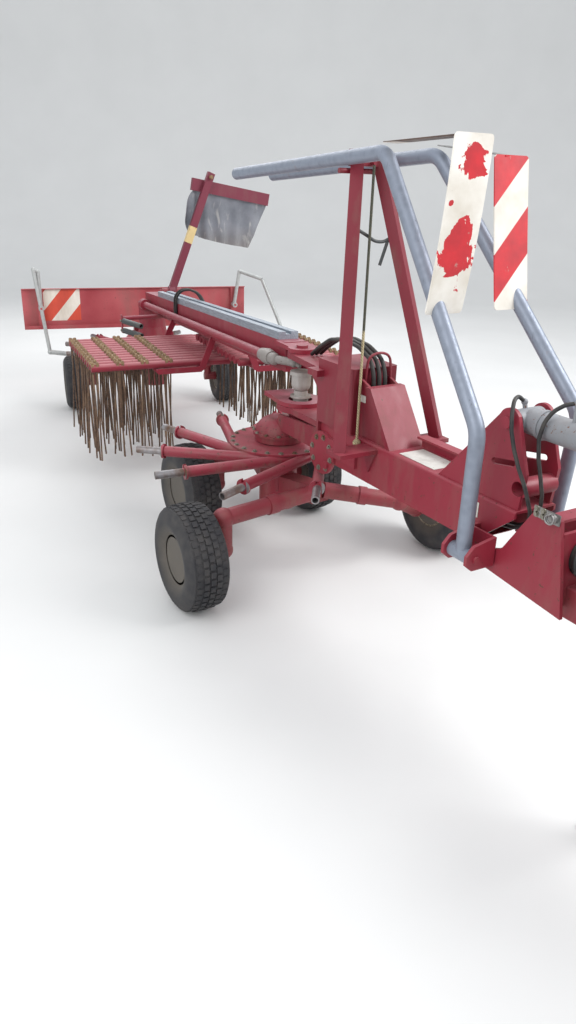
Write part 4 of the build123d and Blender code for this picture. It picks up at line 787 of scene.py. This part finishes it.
def paint_box():
    """All finishes of the rake, made anew from the chosen colours."""
    s = bpy.context.scene.rake_settings
    red, faded = tuple(s.red), tuple(s.red_faded)
    deep = shade(red, 0.8)
    FINISHES.update({
        "red": painted("red paint", red, faded),
        "red_deep": painted("red paint in shade", deep, faded, 0.67, 0.45),
        "red_sky": painted("red paint bleached", red, tone(170, 112, 122), 0.65, 0.4, (86, 60, 56)),
        "gearbox": painted(
            "red paint of the gearbox", deep, faded, 0.63, 0.6, (70, 48, 42), (0.4, 0.65), 0.70
        ),
        "red_header": painted("red paint of the header", tone(120, 44, 62), tone(160, 104, 116), 0.68, 0.3),
        "profile": bright_metal("silver profile", tone(166, 174, 184), (1, 0.03, 1), (0.44, 0.6), 0.74),
        "steel": bright_metal("bare steel", tone(160, 158, 156), (1, 1, 0.1), (0.3, 0.5), 0.6),
        "chrome": bright_metal("rod chrome", tone(200, 200, 204), (1, 0.05, 1), (0.12, 0.25), 0.8),
        "bolt": bright_metal("zinc bolts", tone(150, 146, 134), (1, 1, 1), (0.35, 0.55), 0.52),
        "hoop": galvanised("hoop grey", tuple(s.zinc)),
        "zinc": galvanised("galvanised tube", tone(170, 172, 170)),
        "spring": rusty("spring steel", tone(164, 138, 104), tone(98, 74, 54)),
        "hose": moulded("hose rubber", tone(28, 28, 30), (0.45, 0.7)),
        "plastic": moulded("black plastic", tone(34, 34, 36), (0.35, 0.6)),
        "rope": rope_lay("rope"),
        "front_rotor": rotor_surface("front rotor", at(ROTOR_X, ROTOR_S, ROTOR_Z), red, faded),
        "rear_rotor": rotor_surface("rear rotor", rear(0, REAR_ROTOR_U, ROTOR_Z), red, faded),
        "rear_board": rear_board_surface("rear board", tone(160, 58, 66), tone(188, 92, 96)),
        "cloth": woven("curtain cloth"),
    })
    for key, name, base, high, chips, dust, chip_tone in (
        ("band", "cream band", tone(222, 196, 140), tone(236, 218, 176), 0.64, 0.4, (150, 110, 70)),
        ("grey", "grey paint", tone(132, 134, 138), tone(176, 178, 182), 0.63, 0.5, (110, 70, 52)),
        ("dark", "dark grey paint", tone(72, 76, 76), tone(112, 114, 114), 0.66, 0.4, (96, 70, 56)),
        ("cast", "grey cast iron", tone(138, 132, 128), tone(168, 162, 156), 0.66, 0.55, (88, 66, 58)),
        ("blank", "blank plates", tone(214, 212, 204), tone(226, 224, 218), 0.68, 0.4, (150, 120, 96)),
    ):
        FINISHES[key] = painted(name, base, high, chips, dust, chip_tone)
    pale, paler = tone(196, 182, 158), tone(214, 204, 186)
    FINISHES["rim"] = painted("rim paint", pale, paler, 0.66, 0.6, (122, 84, 58), (0.4, 0.6))
    for rack in RACKS:
        bleached = tone(196, 134, 138)
        surface = stored_arm_surface("stored arms " + rack.side, rack.height, red, bleached)
        FINISHES["arms_" + rack.side] = surface
    for side, facts in WARNING_BOARDS.items():
        FINISHES["board_" + side] = warning_film("warning film " + side, *facts)


COATS = (
    # finish, nodes that it goes on
    ("red", ("front_beam", "drawbar", "headstock", "axle_frame", "rear_carriage")),
    ("red_deep", ("pivot_tower", "mast")),
    ("red_sky", ("rear_beam", "rear_shaft")),
    ("red_header", ("curtain_arm",)),
    ("grey", ("lift_barrel",)),
    ("cast", ("shaft_bell",)),
    ("gearbox", ("front_gearbox",)),
    ("hoop", ("guard_hoop_left", "guard_hoop_right")),
    ("zinc", ("stand_leg", "rear_hoop_left", "rear_hoop_right")),
    ("profile", ("beam_profile",)),
    ("chrome", ("lift_rod",)),
    ("rope", ("mast_rope",)),
    ("hose", ("lift_hoses", "tower_hoses", "rear_hoses")),
    ("plastic", ("shaft_guard",)),
    ("rim", tuple(f"rim_{row}_{side}" for row in ("front", "mid", "rear") for side in ("left", "right"))),
    ("front_rotor", ("front_rotor",)),
    ("rear_rotor", ("rear_rotor",)),
    ("arms_left", ("stored_arms_left",)),
    ("arms_right", ("stored_arms_right",)),
    ("board_left", ("warning_board_left",)),
    ("board_right", ("warning_board_right",)),
    ("rear_board", ("rear_board",)),
)

WHEELS = (
    # name, centre, axis outwards, half width, outer radius
    ("front_left", at(-0.640, 2.338, 0.221), LEFT, 0.088, 0.221),
    ("front_right", at(0.640, 2.338, 0.221), -LEFT, 0.088, 0.221),
    ("mid_left", at(-0.340, 3.040, 0.221), LEFT, 0.088, 0.221),
    ("mid_right", at(0.340, 3.040, 0.221), -LEFT, 0.088, 0.221),
    ("rear_left", cart(-0.565, 0.150, 0.200), cart(-1, 0, 0) - cart(0, 0, 0), 0.080, 0.200),
    ("rear_right", cart(0.565, 0.150, 0.200), cart(1, 0, 0) - cart(0, 0, 0), 0.080, 0.200),
)

# Tyre: rows of tread, where bead and shoulder stand in from the half width, shoulder below the crown,
# root of a tread block in the crown, and how far the blocks stay under the full radius
TREAD_ROWS = 5
BEAD_INSET = 0.022
SHOULDER_INSET = 0.018
SHOULDER_DROP = 0.014
TREAD_ROOT = 0.004
TREAD_UNDER = 0.0012

# Wheel nuts: how many, circle, place along the axle, first angle, radius and height
NUTS = 5
NUT_CIRCLE = 0.058
NUT_OUT = 0.0305
NUT_START = 0.3
NUT_R, NUT_H = 0.0095, 0.009


def arc(a, b, c, count):
    """Points of the arc through three points of a plane."""
    (ax, ay), (bx, by), (cx, cy) = a, b, c
    d = 2 * (ax * (by - cy) + bx * (cy - ay) + cx * (ay - by))
    ux = ((ax**2 + ay**2) * (by - cy) + (bx**2 + by**2) * (cy - ay) + (cx**2 + cy**2) * (ay - by)) / d
    uy = ((ax**2 + ay**2) * (cx - bx) + (bx**2 + by**2) * (ax - cx) + (cx**2 + cy**2) * (bx - ax)) / d
    radius = math.hypot(ax - ux, ay - uy)
    start, end = math.atan2(ay - uy, ax - ux), math.atan2(cy - uy, cx - ux)
    middle = math.atan2(by - uy, bx - ux)
    turn = (end - start) % (2 * math.pi)
    if (middle - start) % (2 * math.pi) > turn:
        turn -= 2 * math.pi
    return [
        (ux + radius * math.cos(start + turn * k / count), uy + radius * math.sin(start + turn * k / count))
        for k in range(count + 1)
    ]


class RAKE_OT_paint(bpy.types.Operator):
    """Mix every finish and lay it on the CAD nodes"""

    bl_idname = "rake.paint"
    bl_label = "Paint the frame"

    def execute(self, context):
        paint_box()
        for name, nodes in COATS:
            for node in nodes:
                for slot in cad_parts[node].material_slots:
                    slot.material = finish(name)
        return {"FINISHED"}


def tyre_profile(half, outer, depth):
    """Outline of a tyre across its section: side wall, rib, crown, rib, side wall."""
    shoulder = outer - SHOULDER_DROP
    side = arc(
        (-half + BEAD_INSET, RIM_R), (-half, (RIM_R + outer) / 2), (-half + SHOULDER_INSET, shoulder), 8
    )
    crown = arc(
        (-half + SHOULDER_INSET, shoulder), (0, outer - depth), (half - SHOULDER_INSET, shoulder), 8
    )
    rib = (side[1][0] - 0.0022, side[1][1] + 0.004)
    wall = side[:2] + [rib] + side[2:]
    return wall + crown[1:-1] + [(-x, r) for x, r in reversed(wall)]


class RAKE_OT_tyres(bpy.types.Operator):
    """Turn the six tyres and set their tread blocks and wheel nuts"""

    bl_idname = "rake.tyres"
    bl_label = "Tyres and wheel nuts"

    def execute(self, context):
        s = context.scene.rake_settings
        block = s.tread_depth + TREAD_ROOT
        for name, centre, axis, half, outer in WHEELS:
            axis, first, second = axis_frame(axis)
            rubber = tyre_rubber("rubber " + name, tuple(s.rubber), centre, axis)
            profile = tyre_profile(half, outer, s.tread_depth)
            body = lathe("tyre_body", centre, axis, profile, 64, rubber)
            chord = half - SHOULDER_INSET
            crown_radius = (chord**2 + SHOULDER_DROP**2) / (2 * SHOULDER_DROP)
            values = {
                "Radius": outer - block / 2 - TREAD_UNDER, "Blocks": s.tread_blocks, "Rows": TREAD_ROWS,
                "Spacing": half * 0.3, "Depth": block, "Fall": 1 / (2 * crown_radius * outer),
                "Material": rubber,
            }
            tread = grow("tread", "tread", values)
            turn = UP.rotation_difference(axis).to_matrix().to_4x4()
            tread.data.transform(Matrix.Translation(centre) @ turn)
            tyre = joined("tyre_with_tread_" + name, [body, tread])
            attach(tyre, "wheel_" + name)
            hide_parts("tyre_" + name)
            places = circle(centre + axis * NUT_OUT, first, second, NUT_CIRCLE, NUTS, NUT_START)
            values = {"Radius": NUT_R, "Height": NUT_H, "Material": finish("bolt")}
            nuts = grow("wheel_nuts_" + name, "bolts", values, places, [axis] * NUTS)
            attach(nuts, "wheel_" + name)
        return {"FINISHED"}


EAST = Vector((1, 0, 0))
NORTH = Vector((0, 1, 0))


def bolt_rows():
    """Bolt heads of the machine: name, body, radius, height, places, axis."""
    front_hub = at(ROTOR_X, ROTOR_S, ROTOR_Z + HUB_HALF)
    rear_hub = rear(0, REAR_ROTOR_U, ROTOR_Z + HUB_HALF)
    first_bolt = ARM_PHASE + math.pi / 22
    strip = [at(-0.1155, s, z) for s in (1.112, 1.088) for z in (0.777, 0.792)]
    front_rim = circle(front_hub, EAST, NORTH, 0.214, 22, first_bolt)
    rear_rim = circle(rear_hub, EAST, NORTH, 0.214, 22, first_bolt)
    dome = circle(at(ROTOR_X, ROTOR_S, 0.5625), EAST, NORTH, 0.1135, 12)
    carrier = circle(at(-0.097, 2.255, 0.606), NORTH, UP, 0.068, 8, 0.2)
    return (
        ("hub_bolts_front", "front_rotor", 0.0085, 0.007, front_rim, UP),
        ("hub_bolts_rear", "rear_rotor", 0.0085, 0.007, rear_rim, UP),
        ("dome_bolts", "chassis", 0.0075, 0.006, dome, UP),
        ("strip_bolts", "drawbar", 0.0065, 0.006, strip, LEFT),
        ("carrier_bolts", "chassis", 0.0085, 0.007, carrier, LEFT),
    )


class RAKE_OT_bolts(bpy.types.Operator):
    """Set the rows of bolt heads on hubs, housings and plates"""

    bl_idname = "rake.bolts"
    bl_label = "Bolt heads"

    def execute(self, context):
        for name, body, radius, height, places, axis in bolt_rows():
            values = {"Radius": radius, "Height": height, "Material": finish("bolt")}
            heads = grow(name, "bolts", values, places, [axis] * len(places))
            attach(heads, body)
        return {"FINISHED"}


# Stored arms: how many lie in a rack and how far apart, tine columns, first column and their pitch,
# the two coils of a clip beside its middle, and how far a coil's axis is above the arm's
ARMS_STORED = 12
ARM_PITCH = 0.068
TINE_COLUMNS = 4
FIRST_COLUMN = 0.020
COLUMN_PITCH = 0.136
COIL_SHIFTS = (-0.0205, 0.0055)
COIL_RISE = 0.014


class RAKE_OT_springs(bpy.types.Operator):
    """Wind the springs of the stored tines on their clips"""

    bl_idname = "rake.springs"
    bl_label = "Tine springs"

    def execute(self, context):
        along = (rear(1, 0, 0) - rear(0, 0, 0)).normalized()
        turns = context.scene.rake_settings.spring_turns
        values = {
            "Radius": 0.0165, "Wire": 0.0034, "Turns": turns, "Length": 0.015,
            "Material": finish("spring"),
        }
        for rack in RACKS:
            places = []
            for index in range(ARMS_STORED):
                u = rack.first + index * ARM_PITCH
                for column in range(TINE_COLUMNS):
                    v = rack.outer + rack.way * (FIRST_COLUMN + COLUMN_PITCH * column)
                    places += [rear(v + shift, u, rack.height + COIL_RISE) for shift in COIL_SHIFTS]
            coils = grow("tine_springs_" + rack.side, "springs", values, places, [along] * len(places))
            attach(coils, "rear_beam")
        return {"FINISHED"}


def rectangle(low, high):
    """Corners of a rectangle from two opposite ones, in the order round it."""
    (a, b), (c, d) = low, high
    return (a, b), (c, b), (c, d), (a, d)


class RAKE_OT_plates(bpy.types.Operator):
    """Add the steel strip with its ring, and the blank plates"""

    bl_idname = "rake.plates"
    bl_label = "Plates and strips"

    def execute(self, context):
        steel = finish("steel")
        outline = ((1.030, 0.768), (1.030, 0.800), (1.124, 0.800), (1.124, 0.768))
        strip = plate("cheek_strip", [at(-0.1105, s, z) for s, z in outline], LEFT * 0.005, steel)
        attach(strip, "drawbar")
        turns = []
        for k in range(12):
            c, d = math.cos(k * 1.3), math.sin(k * 1.3)
            turns.append(at(-0.119 - 0.008 * k / 5, 1.052 + 0.017 * c, 0.786 + 0.017 * d))
        ring = tube("cheek_ring", turns, 0.003, steel)
        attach(ring, "drawbar")
        side = [at(-0.0853, s, z) for s, z in rectangle((1.362, 0.662), (1.430, 0.712))]
        top = [at(x, s, 0.7353) for x, s in rectangle((-0.062, 1.610), (0.046, 1.800))]
        web = [at(-0.0673, s, z) for s, z in rectangle((2.014, 0.866), (2.046, 0.892))]
        for name, corners, depth in (
            ("side_plate", side, LEFT * 0.0015),
            ("top_plate", top, UP * 0.0015),
            ("web_plate", web, LEFT * 0.0015),
        ):
            blank = plate(name, corners, depth, finish("blank"), 0.0006)
            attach(blank, "chassis")
        return {"FINISHED"}


# Wire hoop over the tower's hoses: its station, and its line as sideways places and heights
HOSE_HOOP_S = 2.0465
HOSE_HOOP = (
    (-0.050, 0.930), (-0.050, 0.985), (-0.042, 1.030), (0.005, 1.044), (0.052, 1.030), (0.062, 0.985),
    (0.062, 0.930),
)

# Locking handle between the mast's legs: its station, its rod and its grip as sideways places and heights
HANDLE_S = 2.128
HANDLE_ROD = (
    (0.080, 1.438), (0.056, 1.424), (0.034, 1.421), (0.005, 1.425), (-0.023, 1.442), (-0.068, 1.463),
)
HANDLE_GRIP = ((0.066, 1.428), (0.052, 1.385), (0.0365, 1.341))


class RAKE_OT_wires(bpy.types.Operator):
    """Bend the wire hoop over the hoses and the mast's locking handle"""

    bl_idname = "rake.wires"
    bl_label = "Hose hoop and mast handle"

    def execute(self, context):
        hoop = tube("hose_hoop", [at(x, HOSE_HOOP_S, z) for x, z in HOSE_HOOP], 0.005, finish("red_deep"))
        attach(hoop, "chassis")
        handle = tube("mast_handle", [at(x, HANDLE_S, z) for x, z in HANDLE_ROD], 0.006, finish("dark"))
        grip = tube("mast_grip", [at(x, HANDLE_S, z) for x, z in HANDLE_GRIP], 0.006, finish("dark"))
        locked = joined("mast_lock", [handle, grip])
        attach(locked, "chassis")
        return {"FINISHED"}


# Cross tube left of the rear drum: station, outer end and end plate; the short cylinders' heights and radii
CROSS_U = 2.200
CROSS_END_V = -0.312
CYLINDER_HEIGHTS = (0.744, 0.682)
CYLINDER_PROFILE = ((0.0, 0.014), (0.003, 0.018), (0.184, 0.018), (0.184, 0.012), (0.150, 0.012))
CYLINDER_BOLT = ((0.0, 0.008), (0.008, 0.008), (0.010, 0.006))


class RAKE_OT_lever(bpy.types.Operator):
    """Add the cross tube left of the rear drum, with its two short cylinders"""

    bl_idname = "rake.lever"
    bl_label = "Cross tube and cylinders"

    def execute(self, context):
        out = (rear(-1, 0, 0) - rear(0, 0, 0)).normalized()
        aim = rear(0.080, -0.165, -0.0116) - rear(0, 0, 0)
        red = finish("red_sky")
        line = [rear(-0.040, CROSS_U, 0.764), rear(CROSS_END_V - 0.006, CROSS_U, 0.759)]
        cross = tube("cross_tube", line, 0.014, red, 12, 2)
        outline = rectangle((CROSS_U - 0.022, 0.664), (CROSS_U + 0.022, 0.782))
        end = plate("cross_end", [rear(CROSS_END_V, u, z) for u, z in outline], out * 0.006, red)
        carrier = joined("lever_frame", [cross, end])
        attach(carrier, "rear_beam")
        pieces = []
        for height in CYLINDER_HEIGHTS:
            start = rear(CROSS_END_V + 0.004, CROSS_U - 0.014, height)
            pieces.append(lathe("cylinder", start, aim, CYLINDER_PROFILE, 20, finish("dark")))
            head = rear(CROSS_END_V - 0.005, CROSS_U, height)
            pieces.append(lathe("cylinder_bolt", head, out, CYLINDER_BOLT, 6, finish("bolt"), False))
        cylinders = joined("lever_cylinders", pieces)
        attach(cylinders, "rear_beam")
        return {"FINISHED"}


# Pole of the curtain: half sides of the band round it, where the band begins and its length, head pin
BAND_HALF_WIDE, BAND_HALF_DEEP = 0.0258, 0.0188
BAND_START, BAND_LENGTH = 0.350, 0.115
HEAD_PIN = (
    (0.0, 0.011), (0.006, 0.014), (0.018, 0.014), (0.020, 0.010), (0.070, 0.010), (0.072, 0.014),
    (0.084, 0.014), (0.090, 0.011),
)


class RAKE_OT_pole(bpy.types.Operator):
    """Put the cream band and the rusty head on the curtain's pole"""

    bl_idname = "rake.pole"
    bl_label = "Band and head of the pole"

    def execute(self, context):
        foot, head = rear(0.132, CURTAIN_U, 0.880), rear(0.440, CURTAIN_U, 1.665)
        along = (head - foot).normalized()
        deep = (rear(0, 1, 0) - rear(0, 0, 0)).normalized()
        wide = along.cross(deep).normalized()
        if abs((rear(1, 0, 0) - rear(0, 0, 0)).normalized().dot(wide)) < 0.5:
            raise RuntimeError("the pole's sides came out wrong")
        low = foot + along * BAND_START
        section = rectangle((-BAND_HALF_WIDE, -BAND_HALF_DEEP), (BAND_HALF_WIDE, BAND_HALF_DEEP))
        corners = [low + wide * x + deep * y for x, y in section]
        band = plate("pole_band", corners, along * BAND_LENGTH, finish("band"), 0.0008)
        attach(band, "curtain_arm")
        start = head - along * 0.030 - deep * 0.045
        pin = lathe("pole_head", start, deep, HEAD_PIN, 18, finish("spring"))
        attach(pin, "curtain_arm")
        return {"FINISHED"}


# Curtain: columns and rows of its mesh, left edge's ends, right edge's upper end, bend and lower end
COLUMNS, ROWS = 56, 40
CURTAIN_LEFT_V, CURTAIN_RIGHT_V = 0.316, 0.868
LEFT_MIDDLE, LEFT_END = (0.232, 1.330), (0.256, 1.271)
RIGHT_BEND, RIGHT_END = (0.823, 1.362), (0.715, 1.172)
BEND_SHARE = 0.35
CURTAIN_BACK = 0.040
FALL_FRAMES = 24


def curtain_top(v):
    """Height of the curtain's upper edge, just under the header bar."""
    slope = (HEADER_Z1 - HEADER_Z0) / (HEADER_V1 - HEADER_V0)
    return HEADER_Z0 + slope * (v - HEADER_V0) - HEADER_HALF * math.sqrt(1 + slope**2) - 0.0003


def between(a, b, share):
    """Point between two points of a plane."""
    return tuple(p + (q - p) * share for p, q in zip(a, b))


def curtain_mesh():
    """Curtain before it falls: a trapezoid with a round left edge, in folds that deepen downwards."""
    top_left = (CURTAIN_LEFT_V, curtain_top(CURTAIN_LEFT_V))
    top_right = (CURTAIN_RIGHT_V, curtain_top(CURTAIN_RIGHT_V))
    left = arc(top_left, LEFT_MIDDLE, LEFT_END, ROWS)
    verts, faces = [], []
    for row in range(ROWS + 1):
        t = row / ROWS
        if t < BEND_SHARE:
            right = between(top_right, RIGHT_BEND, t / BEND_SHARE)
        else:
            right = between(RIGHT_BEND, RIGHT_END, (t - BEND_SHARE) / (1 - BEND_SHARE))
        depth = (0.005 + 0.016 * t) * 0.6
        for column in range(COLUMNS + 1):
            k = column / COLUMNS
            fold = math.sin(k * 30.0 + 1.2 * math.sin(t * 3.0)) + 0.6 * math.sin(k * 13.0 - t * 2.0)
            v, z = between(left[row], right, k)
            sag = 0.012 * t * math.sin(math.pi * k)
            verts.append(rear(v, CURTAIN_U + CURTAIN_BACK + depth * fold, z - sag))
    for row in range(ROWS):
        for column in range(COLUMNS):
            a = row * (COLUMNS + 1) + column
            faces.append((a, a + 1, a + COLUMNS + 2, a + COLUMNS + 1))
    return new_mesh("hanging_curtain", verts, faces, finish("cloth"), True)


def let_fall(cloth, context):
    """Cloth simulation of a piece that hangs from its vertex group, with the result as its mesh."""
    modifier = cloth.modifiers.new("fall", "CLOTH")
    modifier.settings.quality = 6
    modifier.settings.mass = 0.3
    modifier.settings.tension_stiffness = 40
    modifier.settings.compression_stiffness = 40
    modifier.settings.bending_stiffness = 8
    modifier.settings.air_damping = 4
    modifier.settings.vertex_group_mass = "held"
    modifier.point_cache.frame_start = 1
    modifier.point_cache.frame_end = FALL_FRAMES
    for number in range(1, FALL_FRAMES + 1):
        context.scene.frame_set(number)
    evaluated = cloth.evaluated_get(context.evaluated_depsgraph_get())
    settled = bpy.data.meshes.new_from_object(evaluated)
    cloth.modifiers.clear()
    context.scene.frame_set(1)
    cloth.data = settled
    cloth.data.materials.clear()
    cloth.data.materials.append(finish("cloth"))


class RAKE_OT_curtain(bpy.types.Operator):
    """Hang the curtain from its header bar and let it fall by cloth simulation"""

    bl_idname = "rake.curtain"
    bl_label = "Curtain"

    def execute(self, context):
        cloth = curtain_mesh()
        held = cloth.vertex_groups.new(name="held")
        held.add(list(range(COLUMNS + 1)), 1.0, "REPLACE")
        held.add(list(range(COLUMNS + 1, 2 * (COLUMNS + 1))), 0.5, "REPLACE")
        let_fall(cloth, context)
        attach(cloth, "curtain_arm")
        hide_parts("curtain")
        return {"FINISHED"}


def lamp(name, power, place, target, size):
    """Area lamp aimed at a point."""
    data = bpy.data.lights.new(name, "AREA")
    data.energy = power
    data.size = size
    obj = placed(name, data)
    obj.location = place
    obj.rotation_euler = (Vector(target) - Vector(place)).to_track_quat("-Z", "Y").to_euler()


# Camera of the photograph: place on the machine, heading, tilt and roll, lens
CAMERA_PLACE = at(-1.720, -0.250, 1.600)
CAMERA_YAW = math.radians(30.5)
CAMERA_PITCH = math.radians(22.9)
CAMERA_ROLL = math.radians(-1.65)
CAMERA_LENS = 27.18

# Floor: its run behind and ahead of the machine's middle, half width, radius of its curve and height
FLOOR_BEHIND = 40.0
FLOOR_AHEAD = 8.4
FLOOR_HALF = 40.0
FLOOR_CURVE = 4.0
FLOOR_RISE = 9.0


def camera_axes():
    """Right, up and forward of the photograph's camera, and its heading on the level."""
    level = Vector((math.sin(CAMERA_YAW), math.cos(CAMERA_YAW), 0))
    right = Vector((math.cos(CAMERA_YAW), -math.sin(CAMERA_YAW), 0))
    forward = level * math.cos(CAMERA_PITCH) - UP * math.sin(CAMERA_PITCH)
    top = level * math.sin(CAMERA_PITCH) + UP * math.cos(CAMERA_PITCH)
    c, k = math.cos(CAMERA_ROLL), math.sin(CAMERA_ROLL)
    return right * c - top * k, top * c + right * k, forward, level


def lay_floor(colour):
    """Pale floor that curves up into a backdrop, square to the camera's heading."""
    ground = Recipe("pale floor")
    cloud = ground.noise(1.4, 4.0)
    ground.colour(ground.layer(colour, shade(colour, 1.04), cloud, 0.3, 0.7))
    ground.roughness(cloud, 0.75, 0.9)
    profile = [(-FLOOR_BEHIND, 0.0), (FLOOR_AHEAD, 0.0)]
    for k in range(1, 13):
        angle = math.pi / 2 * k / 12
        profile.append((FLOOR_AHEAD + FLOOR_CURVE * math.sin(angle), FLOOR_CURVE * (1 - math.cos(angle))))
    profile.append((FLOOR_AHEAD + FLOOR_CURVE, FLOOR_RISE))
    _, _, _, level = camera_axes()
    across = Vector((level.y, -level.x, 0))
    verts, faces = [], []
    for run, height in profile:
        for side in (-FLOOR_HALF, FLOOR_HALF):
            verts.append(level * run + across * side + UP * height)
    for k in range(len(profile) - 1):
        faces.append((2 * k, 2 * k + 1, 2 * k + 3, 2 * k + 2))
    floor = new_mesh("floor", verts, faces, ground.material, True)
    if floor.data.polygons[0].normal.z < 0:
        floor.data.flip_normals()


def studio_world(level):
    """World that lights the object softly and shows as plain white behind the floor."""
    world = bpy.data.worlds.new("studio")
    world.use_nodes = True
    world.node_tree.nodes.clear()
    sky = Wiring(world.node_tree)
    light = sky.node("ShaderNodeBackground", {"Color": (0.93, 0.96, 1.0, 1.0), "Strength": level})
    seen = sky.node("ShaderNodeBackground", {"Color": (1.0, 1.0, 1.0, 1.0), "Strength": 1.0})
    share = sky.node("ShaderNodeLightPath").outputs["Is Camera Ray"]
    mix = sky.node("ShaderNodeMixShader", {0: share, 1: light.outputs[0], 2: seen.outputs[0]})
    sky.node("ShaderNodeOutputWorld", {"Surface": mix.outputs[0]})
    return world


class RAKE_OT_stage(bpy.types.Operator):
    """Lay the floor, hang the lamps and place the camera"""

    bl_idname = "rake.stage"
    bl_label = "Stage"

    def execute(self, context):
        s = context.scene.rake_stage
        scene = context.scene
        lay_floor(tuple(s.floor))
        lamp("key", s.key_power, (3.4, -3.6, 4.6), (0, -0.6, 0.6), 3.2)
        lamp("fill", s.fill_power, (-4.6, -2.2, 3.4), (0, 0, 0.6), 4.0)
        lamp("back", s.fill_power, (1.0, 5.0, 4.4), (0, 0.6, 0.6), 4.0)
        scene.world = studio_world(s.world_level)
        data = bpy.data.cameras.new("photo_camera")
        data.sensor_fit = "AUTO"
        data.sensor_width = 36.0
        data.lens = CAMERA_LENS
        data.clip_end = 100.0
        camera = placed("photo_camera", data)
        right, top, forward, _ = camera_axes()
        turned = Matrix((right, top, -forward)).transposed().to_4x4()
        camera.matrix_world = Matrix.Translation(CAMERA_PLACE) @ turned
        scene.camera = camera
        scene.view_settings.view_transform = "Standard"
        return {"FINISHED"}


OPERATORS = (
    RAKE_OT_paint, RAKE_OT_tyres, RAKE_OT_bolts, RAKE_OT_springs, RAKE_OT_plates, RAKE_OT_wires,
    RAKE_OT_lever, RAKE_OT_pole, RAKE_OT_curtain, RAKE_OT_stage,
)


class RAKE_PT_panel(bpy.types.Panel):
    """Sizes, colours and steps of the rake's dressing"""

    bl_idname = "RAKE_PT_panel"
    bl_label = "Rotary rake"
    bl_space_type = "VIEW_3D"
    bl_region_type = "UI"
    bl_category = "Rake"

    def draw(self, context):
        column = self.layout.column()
        for group in (context.scene.rake_settings, context.scene.rake_stage):
            for key in group.bl_rna.properties.keys():
                if key not in ("rna_type", "name"):
                    column.prop(group, key)
        for operator in OPERATORS:
            column.operator(operator.bl_idname)


CLASSES = (RakeSettings, StageSettings, *OPERATORS, RAKE_PT_panel)


def register():
    for item in CLASSES:
        bpy.utils.register_class(item)
    bpy.types.Scene.rake_settings = PointerProperty(type=RakeSettings)
    bpy.types.Scene.rake_stage = PointerProperty(type=StageSettings)


def unregister():
    del bpy.types.Scene.rake_stage
    del bpy.types.Scene.rake_settings
    for item in reversed(CLASSES):
        bpy.utils.unregister_class(item)


def main():
    register()
    bpy.ops.rake.paint()
    bpy.ops.rake.tyres()
    bpy.ops.rake.bolts()
    bpy.ops.rake.springs()
    bpy.ops.rake.plates()
    bpy.ops.rake.wires()
    bpy.ops.rake.lever()
    bpy.ops.rake.pole()
    bpy.ops.rake.curtain()
    bpy.ops.rake.stage()


if __name__ == "__main__":
    main()
